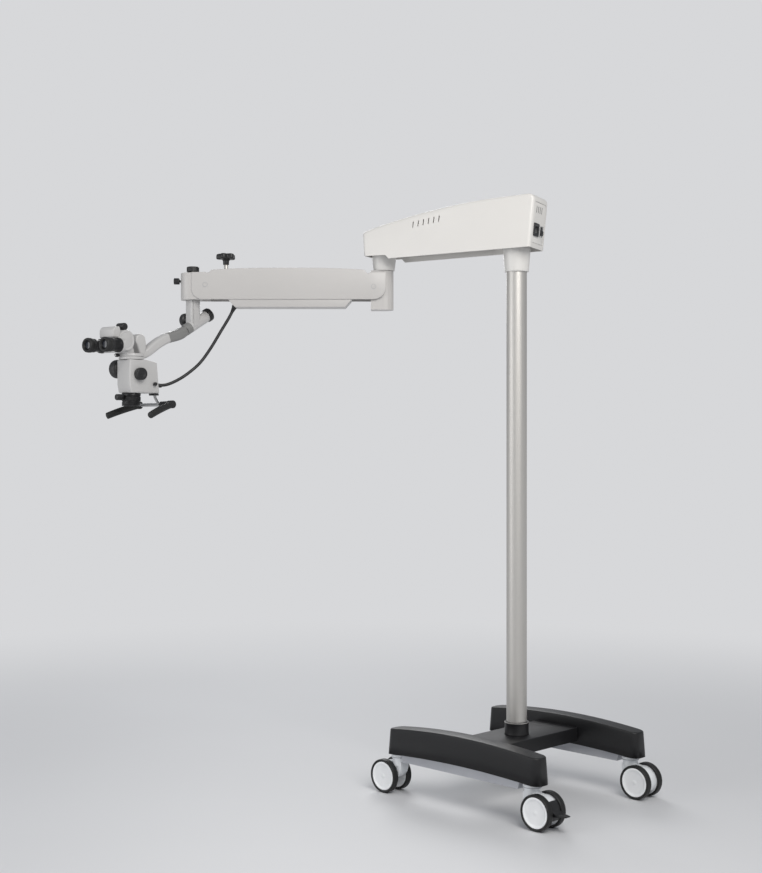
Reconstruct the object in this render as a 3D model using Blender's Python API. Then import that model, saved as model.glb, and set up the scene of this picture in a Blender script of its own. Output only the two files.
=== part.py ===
"""Surgical microscope on a wheeled floor stand.

An H-shaped base on four twin-wheel casters carries a tall column. An upper arm
turns on the column, a spring-balanced lower arm hangs under its far end, and a
swan-neck arm holds the microscope head with its tilting binocular tube.

Metres, +Z up. The origin lies on the floor, under the middle of the whole object.
+X points to the back of the base and the legs run along X. Each moving piece is
parented to an empty that stands on its joint's axis.
"""

import math

import bmesh
import bpy
from mathutils import Matrix, Vector

# Clearance between faces that touch, and around shafts in their bores
GAP = 0.0003

# Where the column stands on the floor, seen from the middle of the object
COLUMN_X = 0.2991
COLUMN_Y = 0.3357

# Base
BASE_CENTRE_X = -0.007
LEG_SPACING = 0.466
LEG_LENGTH = 0.578
LEG_COVER_SHIFT = 0.006
LEG_FOOT_WIDTH = 0.066
LEG_TOP_WIDTH = 0.0556
LEG_TOP_MIDDLE = 0.211
LEG_TOP_END = 0.193
LEG_HEM_MIDDLE = 0.130
LEG_HEM_END = 0.118
LEG_EDGE = 0.006
COVER_WALL = 0.003
BEAM_WIDTH = 0.046
BEAM_BOTTOM = 0.101
BEAM_TOP = 0.150
BEAM_LENGTH = 0.524
RAIL_LENGTH = 0.442
CROSS_WIDTH = 0.160
CROSS_TOP = 0.181
CROSS_HEM = 0.140
CROSS_BEAM_WIDTH = 0.120
CROSS_BEAM_REACH = 0.018

# Casters
CASTER_SPACING = 0.506
CASTER_SEAT = 0.118
CASTER_TRAIL = 0.038
STEM_RADIUS = 0.008
STEM_TOP = 0.138
WHEEL_RADIUS = 0.050
WHEEL_WIDTH = 0.0215
WHEEL_GAP = 0.036
AXLE_RADIUS = 0.006
HOOD_RADIUS = 0.042
PEDAL_THICKNESS = 0.0045
PEDAL_REACH = 0.088

# Column
COLUMN_RADIUS = 0.0305
COLUMN_WALL = 0.0035
COLUMN_TOP = 1.625
COLUMN_SIDES = 24
COLLAR_TOP = 0.220
SPINDLE_RADIUS = 0.015
SPINDLE_FLANGE = 0.0087

# Upper arm
UPPER_ARM_YAW = math.radians(198)
UPPER_ARM_LENGTH = 0.445
UPPER_ARM_WIDTH = 0.122
HOUSING_WALL = 0.004
HOUSING_REAR = 0.078
HOUSING_SLANT = 0.014
HOUSING_CORNER = 0.020
HOUSING_NOSE = 0.042
NOSE_LEAN = 0.006
HOUSING_BOTTOM = 1.629
HOUSING_TOP_REAR = 1.786
REAR_SLEEVE_BOTTOM = 1.5635
REAR_SLEEVE_RADIUS = 0.03625
REAR_SLEEVE_TOP_RADIUS = 0.0415
FRONT_SLEEVE_BOTTOM = 1.590
FRONT_SLEEVE_RADIUS = 0.033
FRONT_SLEEVE_TOP_RADIUS = 0.038
SLEEVE_TOP = 1.640
CASTING_TOP = 1.690
CASTING_WIDTH = 0.060
RIB_LENGTH = 0.024
PANEL_WIDTH = 0.095
PANEL_HEIGHT = 0.110
PANEL_THICKNESS = 0.003
PANEL_MIDDLE_Z = 1.698
INLET_WIDTH = 0.036
INLET_HEIGHT = 0.034
SWITCH_WIDTH = 0.022
SWITCH_HEIGHT = 0.028

# Lower arm
LOWER_ARM_YAW = math.radians(225)
LOWER_ARM_LENGTH = 0.600
REAR_BLOCK_BOTTOM = 1.467
BLOCK_TOP = 1.589
REAR_BLOCK_RADIUS = 0.0295
REAR_BLOCK_FRONT = 0.041
REAR_PIN_X = 0.0323
REAR_PIN_Z = 1.538
FRONT_PIN_X = LOWER_ARM_LENGTH - 0.0427
FRONT_PIN_Z = 1.544
LINK_DROP = 0.030
LINK_WIDTH = 0.024
LINK_HEIGHT = 0.010
PIN_RADIUS = 0.006
LINK_PIN_RADIUS = 0.004
ARM_WIDTH = 0.076
ARM_WALL = 0.003
ARM_TOP = 1.5965
ROOF_DROP = 0.006
ARM_BOTTOM = 1.498
ARM_END_TOP = 1.5835
ARM_REAR = -0.006
ARM_FRONT = LOWER_ARM_LENGTH
FRONT_STEP_X = LOWER_ARM_LENGTH - 0.0625
REAR_STEP_X = 0.062
PAN_REAR = 0.100
PAN_FRONT = LOWER_ARM_LENGTH - 0.114
PAN_SLANT = 0.0215
PAN_BOTTOM = 1.474
PAN_WALL = 0.0025
FRONT_BLOCK_REAR = LOWER_ARM_LENGTH - 0.055
FRONT_BLOCK_FRONT = LOWER_ARM_LENGTH + 0.0375
FRONT_BLOCK_WIDTH = 0.069
FRONT_BLOCK_TOP = 1.5825
CLAMP_SCREW_Z = 1.558
POST_SPINDLE_RADIUS = 0.015
POST_SPINDLE_TOP = 1.570
TENSION_KNOB_X = LOWER_ARM_LENGTH - 0.104
SPRING_AXIS_Z = 1.562
SPRING_REAR = 0.100
SPRING_CYLINDER = 0.230
TENSION_STUD_RADIUS = 0.007

# Post and inclined joint
POST_WIDTH = 0.038
POST_DEPTH = 0.036
FRICTION_KNOB_Z = 1.438
BARREL_TILT = math.radians(31)
BARREL_FOOT_Y = -0.0136
BARREL_FOOT_Z = 1.4125
BARREL_RADIUS = 0.0183
BARREL_LENGTH = 0.076
SWAN_THICKNESS = 0.034
SWAN_WIDTH = 0.032

# Head
OPTICAL_Y = -0.232
HEAD_FRONT = -0.260
HEAD_REAR = -0.152
HEAD_WIDTH = 0.069
HEAD_TOP = 1.303
HEAD_BOTTOM = HEAD_TOP - 0.101
NECK_RADIUS = 0.020
NECK_TOP = HEAD_TOP + 0.009
RING_RADIUS = 0.0385
RING_TOP = NECK_TOP + 0.009
LOCK_SIDE = 0.012
OBJECTIVE_RADIUS = 0.0285
OBJECTIVE_BOTTOM = HEAD_BOTTOM - 0.039
OBJECTIVE_NECK_RADIUS = 0.018
OBJECTIVE_NECK_LENGTH = 0.014
FOCUS_KNOB_Z = HEAD_BOTTOM - 0.013
ZOOM_KNOB_Z = HEAD_TOP - 0.044
ZOOM_KNOB_RADIUS = 0.0187
SIDE_KNOB_Z = HEAD_TOP - 0.027
SIDE_KNOB_RADIUS = 0.0285
ZOOM_KNOB_Y = 0.004
SIDE_KNOB_Y = -0.010
LIGHT_LEVER_Z = HEAD_TOP - 0.073
YOKE_Z = HEAD_TOP + 0.059
HANDLE_BAR_Y = -0.147
HANDLE_BAR_Z = HEAD_BOTTOM - 0.034
HANDLE_BAR_RADIUS = 0.0055
HANDLE_REACH = 0.080
HANGER_X = 0.022
HANGER_Y = -0.162
GRIP_RADIUS = 0.0105

# Binocular tube
BINOCULAR_YAW = math.radians(8)
DRUM_Y = -0.0475
DRUM_Z = RING_TOP + 0.037
DRUM_RADIUS = 0.031
DRUM_WIDTH = 0.066
EYE_SPACING = 0.074
EYE_Z = DRUM_Z - 0.017
EYE_RADIUS = 0.022
EYE_FACE_Y = -0.143
EYE_BASE_Y = -0.0795

# Light guide
GUIDE_RADIUS = 0.0048


def clear_scene():
    """Start from an empty scene."""
    for thing in list(bpy.data.objects):
        bpy.data.objects.remove(thing, do_unlink=True)


def finish(name, colour, roughness, metallic=0.0):
    """Principled material of one finish, made once and shared."""
    made = bpy.data.materials.get(name)
    if made:
        return made
    made = bpy.data.materials.new(name)
    made.use_nodes = True
    shader = made.node_tree.nodes["Principled BSDF"]
    shader.inputs["Base Color"].default_value = (*colour, 1.0)
    shader.inputs["Roughness"].default_value = roughness
    shader.inputs["Metallic"].default_value = metallic
    return made


def white_paint():
    return finish("white_paint", (0.78, 0.77, 0.75), 0.4)


def black_plastic():
    return finish("black_plastic", (0.03, 0.03, 0.03), 0.5)


def black_rubber():
    return finish("black_rubber", (0.02, 0.02, 0.02), 0.7)


def white_plastic():
    return finish("white_plastic", (0.85, 0.85, 0.85), 0.35)


def satin_metal():
    return finish("satin_metal", (0.55, 0.54, 0.51), 0.35, 1.0)


def silver_paint():
    return finish("silver_paint", (0.5, 0.51, 0.53), 0.4, 0.6)


def pivot(name, location, yaw=0.0, parent=None, tilt=0.0):
    """Empty on a joint's axis, turned by yaw about Z and then tilted about its own X."""
    empty = bpy.data.objects.new(name, None)
    bpy.context.scene.collection.objects.link(empty)
    empty.parent = parent
    empty.location = location
    empty.rotation_euler = (tilt, 0.0, yaw)
    return empty


def piece(name, bm, look, parent, location=(0, 0, 0), rotation=(0, 0, 0)):
    """Turn a bmesh into a named object with its own material."""
    bmesh.ops.recalc_face_normals(bm, faces=bm.faces)
    if bm.calc_volume(signed=True) < 0:
        bmesh.ops.reverse_faces(bm, faces=bm.faces)
    mesh = bpy.data.meshes.new(name)
    bm.to_mesh(mesh)
    bm.free()
    mesh.materials.append(look())
    mesh.shade_smooth()
    mesh.set_sharp_from_angle(angle=math.radians(35))
    made = bpy.data.objects.new(name, mesh)
    bpy.context.scene.collection.objects.link(made)
    made.parent = parent
    made.location = location
    made.rotation_euler = rotation
    return made


def helper(name, bm, parent, location=(0, 0, 0), rotation=(0, 0, 0)):
    """Shape that is joined to a piece or cut from it, and isn't a piece itself."""
    made = piece(name, bm, black_plastic, parent, location, rotation)
    made.hide_render = True
    made.display_type = "WIRE"
    return made


def combine(target, other, operation):
    """Exact Boolean of a piece with a helper shape."""
    boolean = target.modifiers.new(other.name, "BOOLEAN")
    boolean.operation = operation
    boolean.solver = "EXACT"
    boolean.object = other


def join(target, other):
    combine(target, other, "UNION")


def cut(target, other):
    combine(target, other, "DIFFERENCE")


def bevel(target, width, segments=2, angle=40):
    """Round every edge that is sharper than the angle."""
    rounding = target.modifiers.new("rounding", "BEVEL")
    rounding.width = width
    rounding.segments = segments
    rounding.limit_method = "ANGLE"
    rounding.angle_limit = math.radians(angle)
    rounding.harden_normals = False


def shell(target, wall):
    """Give an open skin its wall, inwards."""
    solid = target.modifiers.new("wall", "SOLIDIFY")
    solid.thickness = wall
    solid.offset = -1.0
    solid.use_even_offset = True


def arc(x, y, radius, start, end, steps):
    """Points along an arc, in degrees."""
    angles = [math.radians(start + (end - start) * i / steps) for i in range(steps + 1)]
    return [(x + radius * math.cos(a), y + radius * math.sin(a)) for a in angles]


def rounded_rectangle(width, height, radius, steps=3, x=0.0, y=0.0):
    """Rectangle outline with round corners, anticlockwise."""
    points = []
    for quarter, (sx, sy) in enumerate(((1, 1), (-1, 1), (-1, -1), (1, -1))):
        cx = x + sx * (width / 2 - radius)
        cy = y + sy * (height / 2 - radius)
        points += arc(cx, cy, radius, 90 * quarter, 90 * quarter + 90, steps)
    return points


def prism(outline, low, high):
    """Solid with an XY outline between two heights."""
    bm = bmesh.new()
    face = bm.faces.new([bm.verts.new((x, y, low)) for x, y in outline])
    raised = bmesh.ops.extrude_face_region(bm, geom=[face])["geom"]
    top = [v for v in raised if isinstance(v, bmesh.types.BMVert)]
    bmesh.ops.translate(bm, verts=top, vec=(0, 0, high - low))
    return bm


def side_prism(outline, half_width):
    """Solid with an XZ outline, as wide to both sides of the XZ plane."""
    bm = prism(outline, -half_width, half_width)
    bm.transform(Matrix.Rotation(math.radians(90), 4, "X"))
    return bm


def block(size, centre):
    """Box of a size at a centre."""
    bm = bmesh.new()
    bmesh.ops.create_cube(bm, size=1.0)
    bmesh.ops.scale(bm, verts=bm.verts, vec=size)
    bmesh.ops.translate(bm, verts=bm.verts, vec=centre)
    return bm


def turned(profile, steps=24, closed=False):
    """Profile of (radius, height) points turned about Z."""
    bm = bmesh.new()
    points = [bm.verts.new((r, 0, z)) for r, z in profile]
    edges = [bm.edges.new(pair) for pair in zip(points, points[1:])]
    if closed:
        edges.append(bm.edges.new((points[-1], points[0])))
    bmesh.ops.spin(
        bm,
        geom=points + edges,
        cent=(0, 0, 0),
        axis=(0, 0, 1),
        angle=math.tau,
        steps=steps,
        use_duplicate=False,
    )
    bmesh.ops.remove_doubles(bm, verts=bm.verts, dist=1e-6)
    bmesh.ops.dissolve_degenerate(bm, edges=bm.edges, dist=1e-6)
    return bm


def slice_off(bm, point, keep):
    """Cut a solid with a plane and keep the side that the vector points to."""
    everything = bm.verts[:] + bm.edges[:] + bm.faces[:]
    sliced = bmesh.ops.bisect_plane(bm, geom=everything, plane_co=point, plane_no=keep, clear_inner=True)
    rim = [e for e in sliced["geom_cut"] if isinstance(e, bmesh.types.BMEdge)]
    bmesh.ops.contextual_create(bm, geom=rim)


def rod(radius, low, high, steps=12):
    """Plain round bar along Z."""
    return turned([(0, low), (radius, low), (radius, high), (0, high)], steps)


def lofted(rings):
    """Solid skinned over rings of equal numbers of points."""
    bm = bmesh.new()
    loops = [[bm.verts.new(point) for point in ring] for ring in rings]
    for lower, upper in zip(loops, loops[1:]):
        for i in range(len(lower)):
            j = (i + 1) % len(lower)
            bm.faces.new((lower[i], lower[j], upper[j], upper[i]))
    bm.faces.new(loops[0])
    bm.faces.new(loops[-1])
    return bm


def swept(stations, outline):
    """Solid along stations of (x, y, z, width scale, height scale) in the YZ plane."""
    rings = []
    for i, (x, y, z, wide, high) in enumerate(stations):
        before = Vector(stations[max(i - 1, 0)][:3])
        after = Vector(stations[min(i + 1, len(stations) - 1)][:3])
        along = (after - before).normalized()
        across = Vector((1, 0, 0))
        up = across.cross(along)
        middle = Vector((x, y, z))
        rings.append([middle + across * (a * wide) + up * (b * high) for a, b in outline])
    return lofted(rings)


# Base

def arch(x, middle, end):
    """Height of an arched edge at a distance from the middle of the leg."""
    return middle - (middle - end) * (x / (LEG_LENGTH / 2)) ** 2


def cover_half_width(z):
    """Half width of a leg cover at a height, at the middle of its length."""
    shoulder = LEG_TOP_MIDDLE - LEG_EDGE
    share = (z - LEG_HEM_MIDDLE) / (shoulder - LEG_HEM_MIDDLE)
    return (LEG_FOOT_WIDTH + (LEG_TOP_WIDTH - LEG_FOOT_WIDTH) * share) / 2


def leg_side(half_length, half_width, radius):
    """One side of the cover's plan outline, from its rear end to its front end."""
    straight = half_length - radius
    points = arc(straight, half_width - radius, radius, 0, 90, 3)
    points += [(straight * (1 - i / 3), half_width) for i in range(1, 6)]
    points += arc(-straight, half_width - radius, radius, 90, 180, 3)
    return points


def leg_cover(name, stand, side):
    """Moulded cover with an arched top and hem, drafted sides and an open underside."""
    half = LEG_LENGTH / 2
    levels = (
        (half, LEG_FOOT_WIDTH / 2, 0.024, LEG_HEM_MIDDLE, LEG_HEM_END),
        (half - 0.004, LEG_TOP_WIDTH / 2, 0.021, LEG_TOP_MIDDLE - LEG_EDGE, LEG_TOP_END - LEG_EDGE),
        (half - 0.006, LEG_TOP_WIDTH / 2 - 0.002, 0.019, LEG_TOP_MIDDLE - 0.0015, LEG_TOP_END - 0.0015),
        (half - 0.010, LEG_TOP_WIDTH / 2 - 0.006, 0.016, LEG_TOP_MIDDLE, LEG_TOP_END),
    )
    bm = bmesh.new()
    rings = []
    for length, width, radius, middle, end in levels:
        near = leg_side(length, width, radius)
        plan = near + [(x, -y) for x, y in reversed(near)]
        rings.append([bm.verts.new((x, y, arch(x, middle, end))) for x, y in plan])
    count = len(rings[0])
    for lower, upper in zip(rings, rings[1:]):
        for i in range(count):
            j = (i + 1) % count
            bm.faces.new((lower[i], lower[j], upper[j], upper[i]))
    top = rings[-1]
    for i in range(count // 2 - 1):
        bm.faces.new((top[i], top[i + 1], top[count - 2 - i], top[count - 1 - i]))
    place = (BASE_CENTRE_X + LEG_COVER_SHIFT, side * LEG_SPACING / 2, 0)
    made = piece(name, bm, black_plastic, stand, place)
    shell(made, COVER_WALL)
    notch = block(
        (CROSS_BEAM_WIDTH + 2 * GAP, LEG_FOOT_WIDTH, CROSS_TOP - COVER_WALL - BEAM_TOP + GAP),
        (-LEG_COVER_SHIFT, -side * LEG_FOOT_WIDTH / 2, (CROSS_TOP - COVER_WALL + BEAM_TOP + GAP) / 2),
    )
    cut(made, helper(name + "_notch", notch, stand, made.location))
    return made


def leg_beam(name, stand, side):
    """Steel leg with a lower rail between the casters and a bored seat over each stem."""
    rail = RAIL_LENGTH / 2
    end = BEAM_LENGTH / 2
    seat = CASTER_SEAT + GAP
    outline = [
        (-rail, BEAM_BOTTOM), (rail, BEAM_BOTTOM), (rail + 0.004, seat), (end, seat),
        (end, BEAM_TOP), (-end, BEAM_TOP), (-end, seat), (-rail - 0.004, seat),
    ]
    place = (BASE_CENTRE_X, side * LEG_SPACING / 2, 0)
    made = piece(name, side_prism(outline, BEAM_WIDTH / 2), silver_paint, stand, place)
    for end_name, direction in (("front", -1), ("rear", 1)):
        bore = rod(STEM_RADIUS + GAP, CASTER_SEAT - 0.01, STEM_TOP + GAP)
        spot = (place[0] + direction * CASTER_SPACING / 2, place[1], 0)
        cut(made, helper(f"{name}_bore_{end_name}", bore, stand, spot))
    return made


def cross_beam(stand):
    """Steel plate that ties the legs together and carries the column."""
    reach = LEG_SPACING / 2 + CROSS_BEAM_REACH
    low = BEAM_TOP + GAP
    high = CROSS_TOP - COVER_WALL - GAP
    size = (CROSS_BEAM_WIDTH, 2 * reach, high - low)
    return piece("cross_beam", block(size, (BASE_CENTRE_X, 0, (low + high) / 2)), silver_paint, stand)


def cross_cover(stand):
    """Moulded cover over the cross beam, with ends that follow the legs' draft."""
    half = CROSS_WIDTH / 2
    rings = []
    for z, inset in ((CROSS_HEM, 0.0), (CROSS_TOP - 0.004, 0.001), (CROSS_TOP, 0.005)):
        reach = LEG_SPACING / 2 - cover_half_width(z) - GAP
        wide = half - inset
        corners = ((wide, reach), (-wide, reach), (-wide, -reach), (wide, -reach))
        rings.append([Vector((BASE_CENTRE_X + x, y, z)) for x, y in corners])
    bm = lofted(rings)
    bm.normal_update()
    hem = CROSS_HEM + 0.001
    unwalled = [f for f in bm.faces if f.calc_center_median().z < hem or abs(f.normal.y) > 0.9]
    bmesh.ops.delete(bm, geom=unwalled, context="FACES_ONLY")
    loose = [e for e in bm.edges if not e.link_faces]
    bmesh.ops.delete(bm, geom=loose, context="EDGES")
    made = piece("cross_cover", bm, black_plastic, stand)
    shell(made, COVER_WALL)
    hole = rod(COLUMN_RADIUS + GAP, CROSS_HEM, CROSS_TOP + 0.01, COLUMN_SIDES)
    cut(made, helper("cross_cover_hole", hole, stand))
    return made


def foot_collar(stand):
    """Moulded ring that hides the foot of the column."""
    inner = COLUMN_RADIUS + GAP
    low = CROSS_TOP + GAP
    profile = [
        (inner, low), (0.0372, low), (0.0372, low + 0.005), (0.036, low + 0.007),
        (0.0355, COLLAR_TOP - 0.0015), (0.0345, COLLAR_TOP), (inner, COLLAR_TOP),
    ]
    return piece("foot_collar", turned(profile, COLUMN_SIDES, closed=True), black_plastic, stand)


def column(stand):
    """Tube that stands on the cross beam."""
    inner = COLUMN_RADIUS - COLUMN_WALL
    low = CROSS_TOP - COVER_WALL
    profile = [(inner, low), (COLUMN_RADIUS, low), (COLUMN_RADIUS, COLUMN_TOP), (inner, COLUMN_TOP)]
    return piece("column_tube", turned(profile, COLUMN_SIDES, closed=True), satin_metal, stand)


def column_spindle(stand):
    """Plug in the column's mouth, with the shaft that the upper arm turns on."""
    plug = COLUMN_RADIUS - COLUMN_WALL - GAP
    flange = COLUMN_TOP + GAP
    shoulder = COLUMN_TOP + SPINDLE_FLANGE
    tip = CASTING_TOP + 0.006
    profile = [
        (0, COLUMN_TOP - 0.05), (plug, COLUMN_TOP - 0.05), (plug, flange), (COLUMN_RADIUS, flange),
        (COLUMN_RADIUS, shoulder), (SPINDLE_RADIUS, shoulder), (SPINDLE_RADIUS, tip), (0, tip),
    ]
    return piece("column_spindle", turned(profile, COLUMN_SIDES), satin_metal, stand)


# Casters

def caster_fork(name, swivel):
    """Stem, collar and the hood between the wheels, with the axle across it."""
    collar = [
        (0, STEM_TOP), (STEM_RADIUS, STEM_TOP), (STEM_RADIUS, CASTER_SEAT), (0.0255, CASTER_SEAT),
        (0.0255, CASTER_SEAT - 0.011), (0.0215, CASTER_SEAT - 0.013), (0.0215, 0.094), (0, 0.094),
    ]
    made = piece(name, turned(collar, 16), white_plastic, swivel)
    x, z = CASTER_TRAIL, WHEEL_RADIUS
    hood = [(-0.0195, 0.099), (-0.0195, 0.078), (-0.008, 0.058), (x - 0.012, z - 0.010)]
    hood += arc(x, z, 0.014, 240, 300, 2)
    hood += arc(x, z, HOOD_RADIUS, -30, 90, 6)
    hood += [(x - 0.018, 0.099)]
    join(made, helper(name + "_hood", side_prism(hood, WHEEL_GAP / 2 - 0.0015), swivel))
    axle = rod(AXLE_RADIUS, -WHEEL_GAP / 2 - 0.011, WHEEL_GAP / 2 + 0.011, 8)
    spot = (CASTER_TRAIL, 0, WHEEL_RADIUS)
    join(made, helper(name + "_axle", axle, swivel, spot, (math.radians(90), 0, 0)))
    return made


def wheel(name, axle, side):
    """Dished wheel with a moulded-on tread and a blind bore from the inner side."""
    steps = 20
    rim = WHEEL_RADIUS / math.cos(math.pi / steps)
    inner = WHEEL_GAP / 2
    outer = inner + WHEEL_WIDTH
    profile = [
        (0, outer - 0.005), (0.034, outer - 0.003), (0.0405, outer - 0.0005), (0.046, outer - 0.0005),
        (rim, outer - 0.003), (rim, inner + 0.0015), (0.047, inner), (AXLE_RADIUS + GAP, inner),
        (AXLE_RADIUS + GAP, inner + 0.0115), (0, inner + 0.0115),
    ]
    bm = turned(profile, steps)
    half_step = math.pi / steps
    bm.transform(Matrix.Rotation(half_step, 4, "Z"))
    bm.transform(Matrix.Rotation(math.radians(90), 4, "X"))
    if side > 0:
        bm.transform(Matrix.Rotation(math.radians(180), 4, "Z"))
    return piece(name, bm, white_plastic, axle)


def brake_pedal(name, axle):
    """Curved band over the hood, with the tab that a foot presses."""
    inner = HOOD_RADIUS + GAP
    outer = inner + PEDAL_THICKNESS
    outline = arc(0, 0, inner, 46, -24, 6)
    outline += arc(0, 0, outer, -24, -8, 2)
    outline += [(PEDAL_REACH, -0.004), (PEDAL_REACH, 0.002), (outer + 0.001, 0.004)]
    outline += arc(0, 0, outer, 10, 46, 4)
    made = piece(name, side_prism(outline, WHEEL_GAP / 2 - 0.0015), black_plastic, axle)
    return made


def caster(stand, corner, x_side, y_side, braked):
    """One twin-wheel caster: its fork turns on the stem and trails outwards."""
    spot = (BASE_CENTRE_X + x_side * CASTER_SPACING / 2, y_side * LEG_SPACING / 2, 0)
    yaw = 0.0 if x_side > 0 else math.pi
    swivel = pivot(f"{corner}_swivel_axis", spot, yaw, stand)
    axle = pivot(f"{corner}_axle_axis", (CASTER_TRAIL, 0, WHEEL_RADIUS), 0.0, swivel)
    caster_fork(f"{corner}_caster_fork", swivel)
    wheel(f"{corner}_wheel_left", axle, 1)
    wheel(f"{corner}_wheel_right", axle, -1)
    if braked:
        brake_pedal(f"{corner}_brake_pedal", axle)


# Upper arm

def housing_outline():
    """Side outline of the upper arm's housing, from its lower rear corner round the top."""
    rear = -HOUSING_REAR
    nose = UPPER_ARM_LENGTH + HOUSING_NOSE
    top = [
        (0.029, 1.782), (0.093, 1.778), (0.158, 1.772), (0.224, 1.763), (0.291, 1.753),
        (0.359, 1.740), (0.428, 1.725), (0.463, 1.716), (nose + NOSE_LEAN - 0.002, 1.7075),
    ]
    radius = HOUSING_CORNER
    corner = arc(rear + radius, HOUSING_TOP_REAR - radius, radius, 174, 94, 5)
    front = [(nose + NOSE_LEAN, 1.703), (nose, 1.633), (0.410, 1.632), (0.400, 1.621)]
    return [(rear + HOUSING_SLANT, HOUSING_BOTTOM)] + corner + top + front


def vent_slot(x, z, lean, height=0.019, width=0.004, depth=0.02):
    """Cutter for one upright slot in the XZ plane."""
    bm = side_prism(rounded_rectangle(width, height, width / 2 - 0.0001, 1), depth / 2)
    bm.transform(Matrix.Rotation(lean, 4, "Y"))
    bm.transform(Matrix.Translation((x, 0, z)))
    return bm


def merged(parts):
    """Several separate shapes in one bmesh."""
    whole = bmesh.new()
    for part in parts:
        mesh = bpy.data.meshes.new("part")
        part.to_mesh(mesh)
        part.free()
        whole.from_mesh(mesh)
        bpy.data.meshes.remove(mesh)
    return whole


def upper_housing(arm, rear_frame):
    """Long moulded shell over the upper arm, open underneath and at the rear panel."""
    outline = housing_outline()
    bm = side_prism(outline, UPPER_ARM_WIDTH / 2)
    bm.normal_update()
    under = [f for f in bm.faces if f.calc_center_median().z < 1.633 and abs(f.normal.z) > 0.3]
    bmesh.ops.delete(bm, geom=under, context="FACES_ONLY")
    loose = [e for e in bm.edges if not e.link_faces]
    bmesh.ops.delete(bm, geom=loose, context="EDGES")
    made = piece("upper_housing", bm, white_paint, arm)
    bevel(made, 0.006, 2, 60)
    shell(made, HOUSING_WALL)
    slots = []
    for i in range(6):
        x = 0.228 + 0.0174 * i
        z = 1.731 - 0.0024 * i
        for side in (-1, 1):
            slot = vent_slot(x, z, math.radians(6))
            slot.transform(Matrix.Translation((0, side * UPPER_ARM_WIDTH / 2, 0)))
            slots.append(slot)
    cut(made, helper("housing_side_vents", merged(slots), arm))
    window = prism(rounded_rectangle(PANEL_HEIGHT, PANEL_WIDTH, 0.010), -0.012, 0.012)
    cut(made, helper("housing_rear_window", window, rear_frame))
    return made


def rear_panel(rear_frame):
    """Plate in the housing's rear window, with vents and holes for inlet and switch."""
    plate = rounded_rectangle(PANEL_HEIGHT - 2 * GAP, PANEL_WIDTH - 2 * GAP, 0.010 - GAP)
    made = piece("rear_panel", prism(plate, -PANEL_THICKNESS - 0.001, -0.001), white_paint, rear_frame)
    outlines = [
        rounded_rectangle(INLET_HEIGHT, INLET_WIDTH, 0.002, 1, *inlet_place()),
        rounded_rectangle(SWITCH_HEIGHT, SWITCH_WIDTH, 0.0015, 1, *switch_place()),
    ]
    for i in range(4):
        outlines.append(rounded_rectangle(0.022, 0.004, 0.0019, 1, 0.036, 0.012 * (i - 1.5)))
    holes = merged([prism(outline, -0.01, 0.01) for outline in outlines])
    cut(made, helper("rear_panel_holes", holes, rear_frame))
    return made


def inlet_place():
    """Centre of the inlet on the panel: up from its middle, and towards the near side."""
    return -0.016, 0.021


def switch_place():
    """Centre of the switch, level with the inlet on the far side."""
    return -0.016, -0.020


def power_inlet(rear_frame):
    """Appliance inlet: a rim on the panel and a body behind it with an open recess."""
    x, y = inlet_place()
    body = rounded_rectangle(INLET_HEIGHT - 2 * GAP, INLET_WIDTH - 2 * GAP, 0.002, 1, x, y)
    made = piece("power_inlet", prism(body, -0.0215, 0.002), black_plastic, rear_frame)
    rim = rounded_rectangle(INLET_HEIGHT + 0.005, INLET_WIDTH + 0.006, 0.003, 2, x, y)
    join(made, helper("power_inlet_rim", prism(rim, -0.001 + GAP, 0.0025), rear_frame))
    recess = prism(rounded_rectangle(0.020, 0.026, 0.004, 2, x, y), -0.018, 0.01)
    cut(made, helper("power_inlet_recess", recess, rear_frame))
    return made


def power_switch(rear_frame):
    """Rocker button that tips about the axis across its middle."""
    x, y = switch_place()
    axis = pivot("power_switch_axis", (x, y, -0.002), 0.0, rear_frame)
    half = SWITCH_HEIGHT / 2 - 0.0025
    outline = [(-half, -0.006), (half, -0.006), (half, 0.0035), (0, 0.0045), (-half, 0.0065)]
    return piece("power_switch", side_prism(outline, SWITCH_WIDTH / 2 - GAP), black_plastic, axis)


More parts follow.
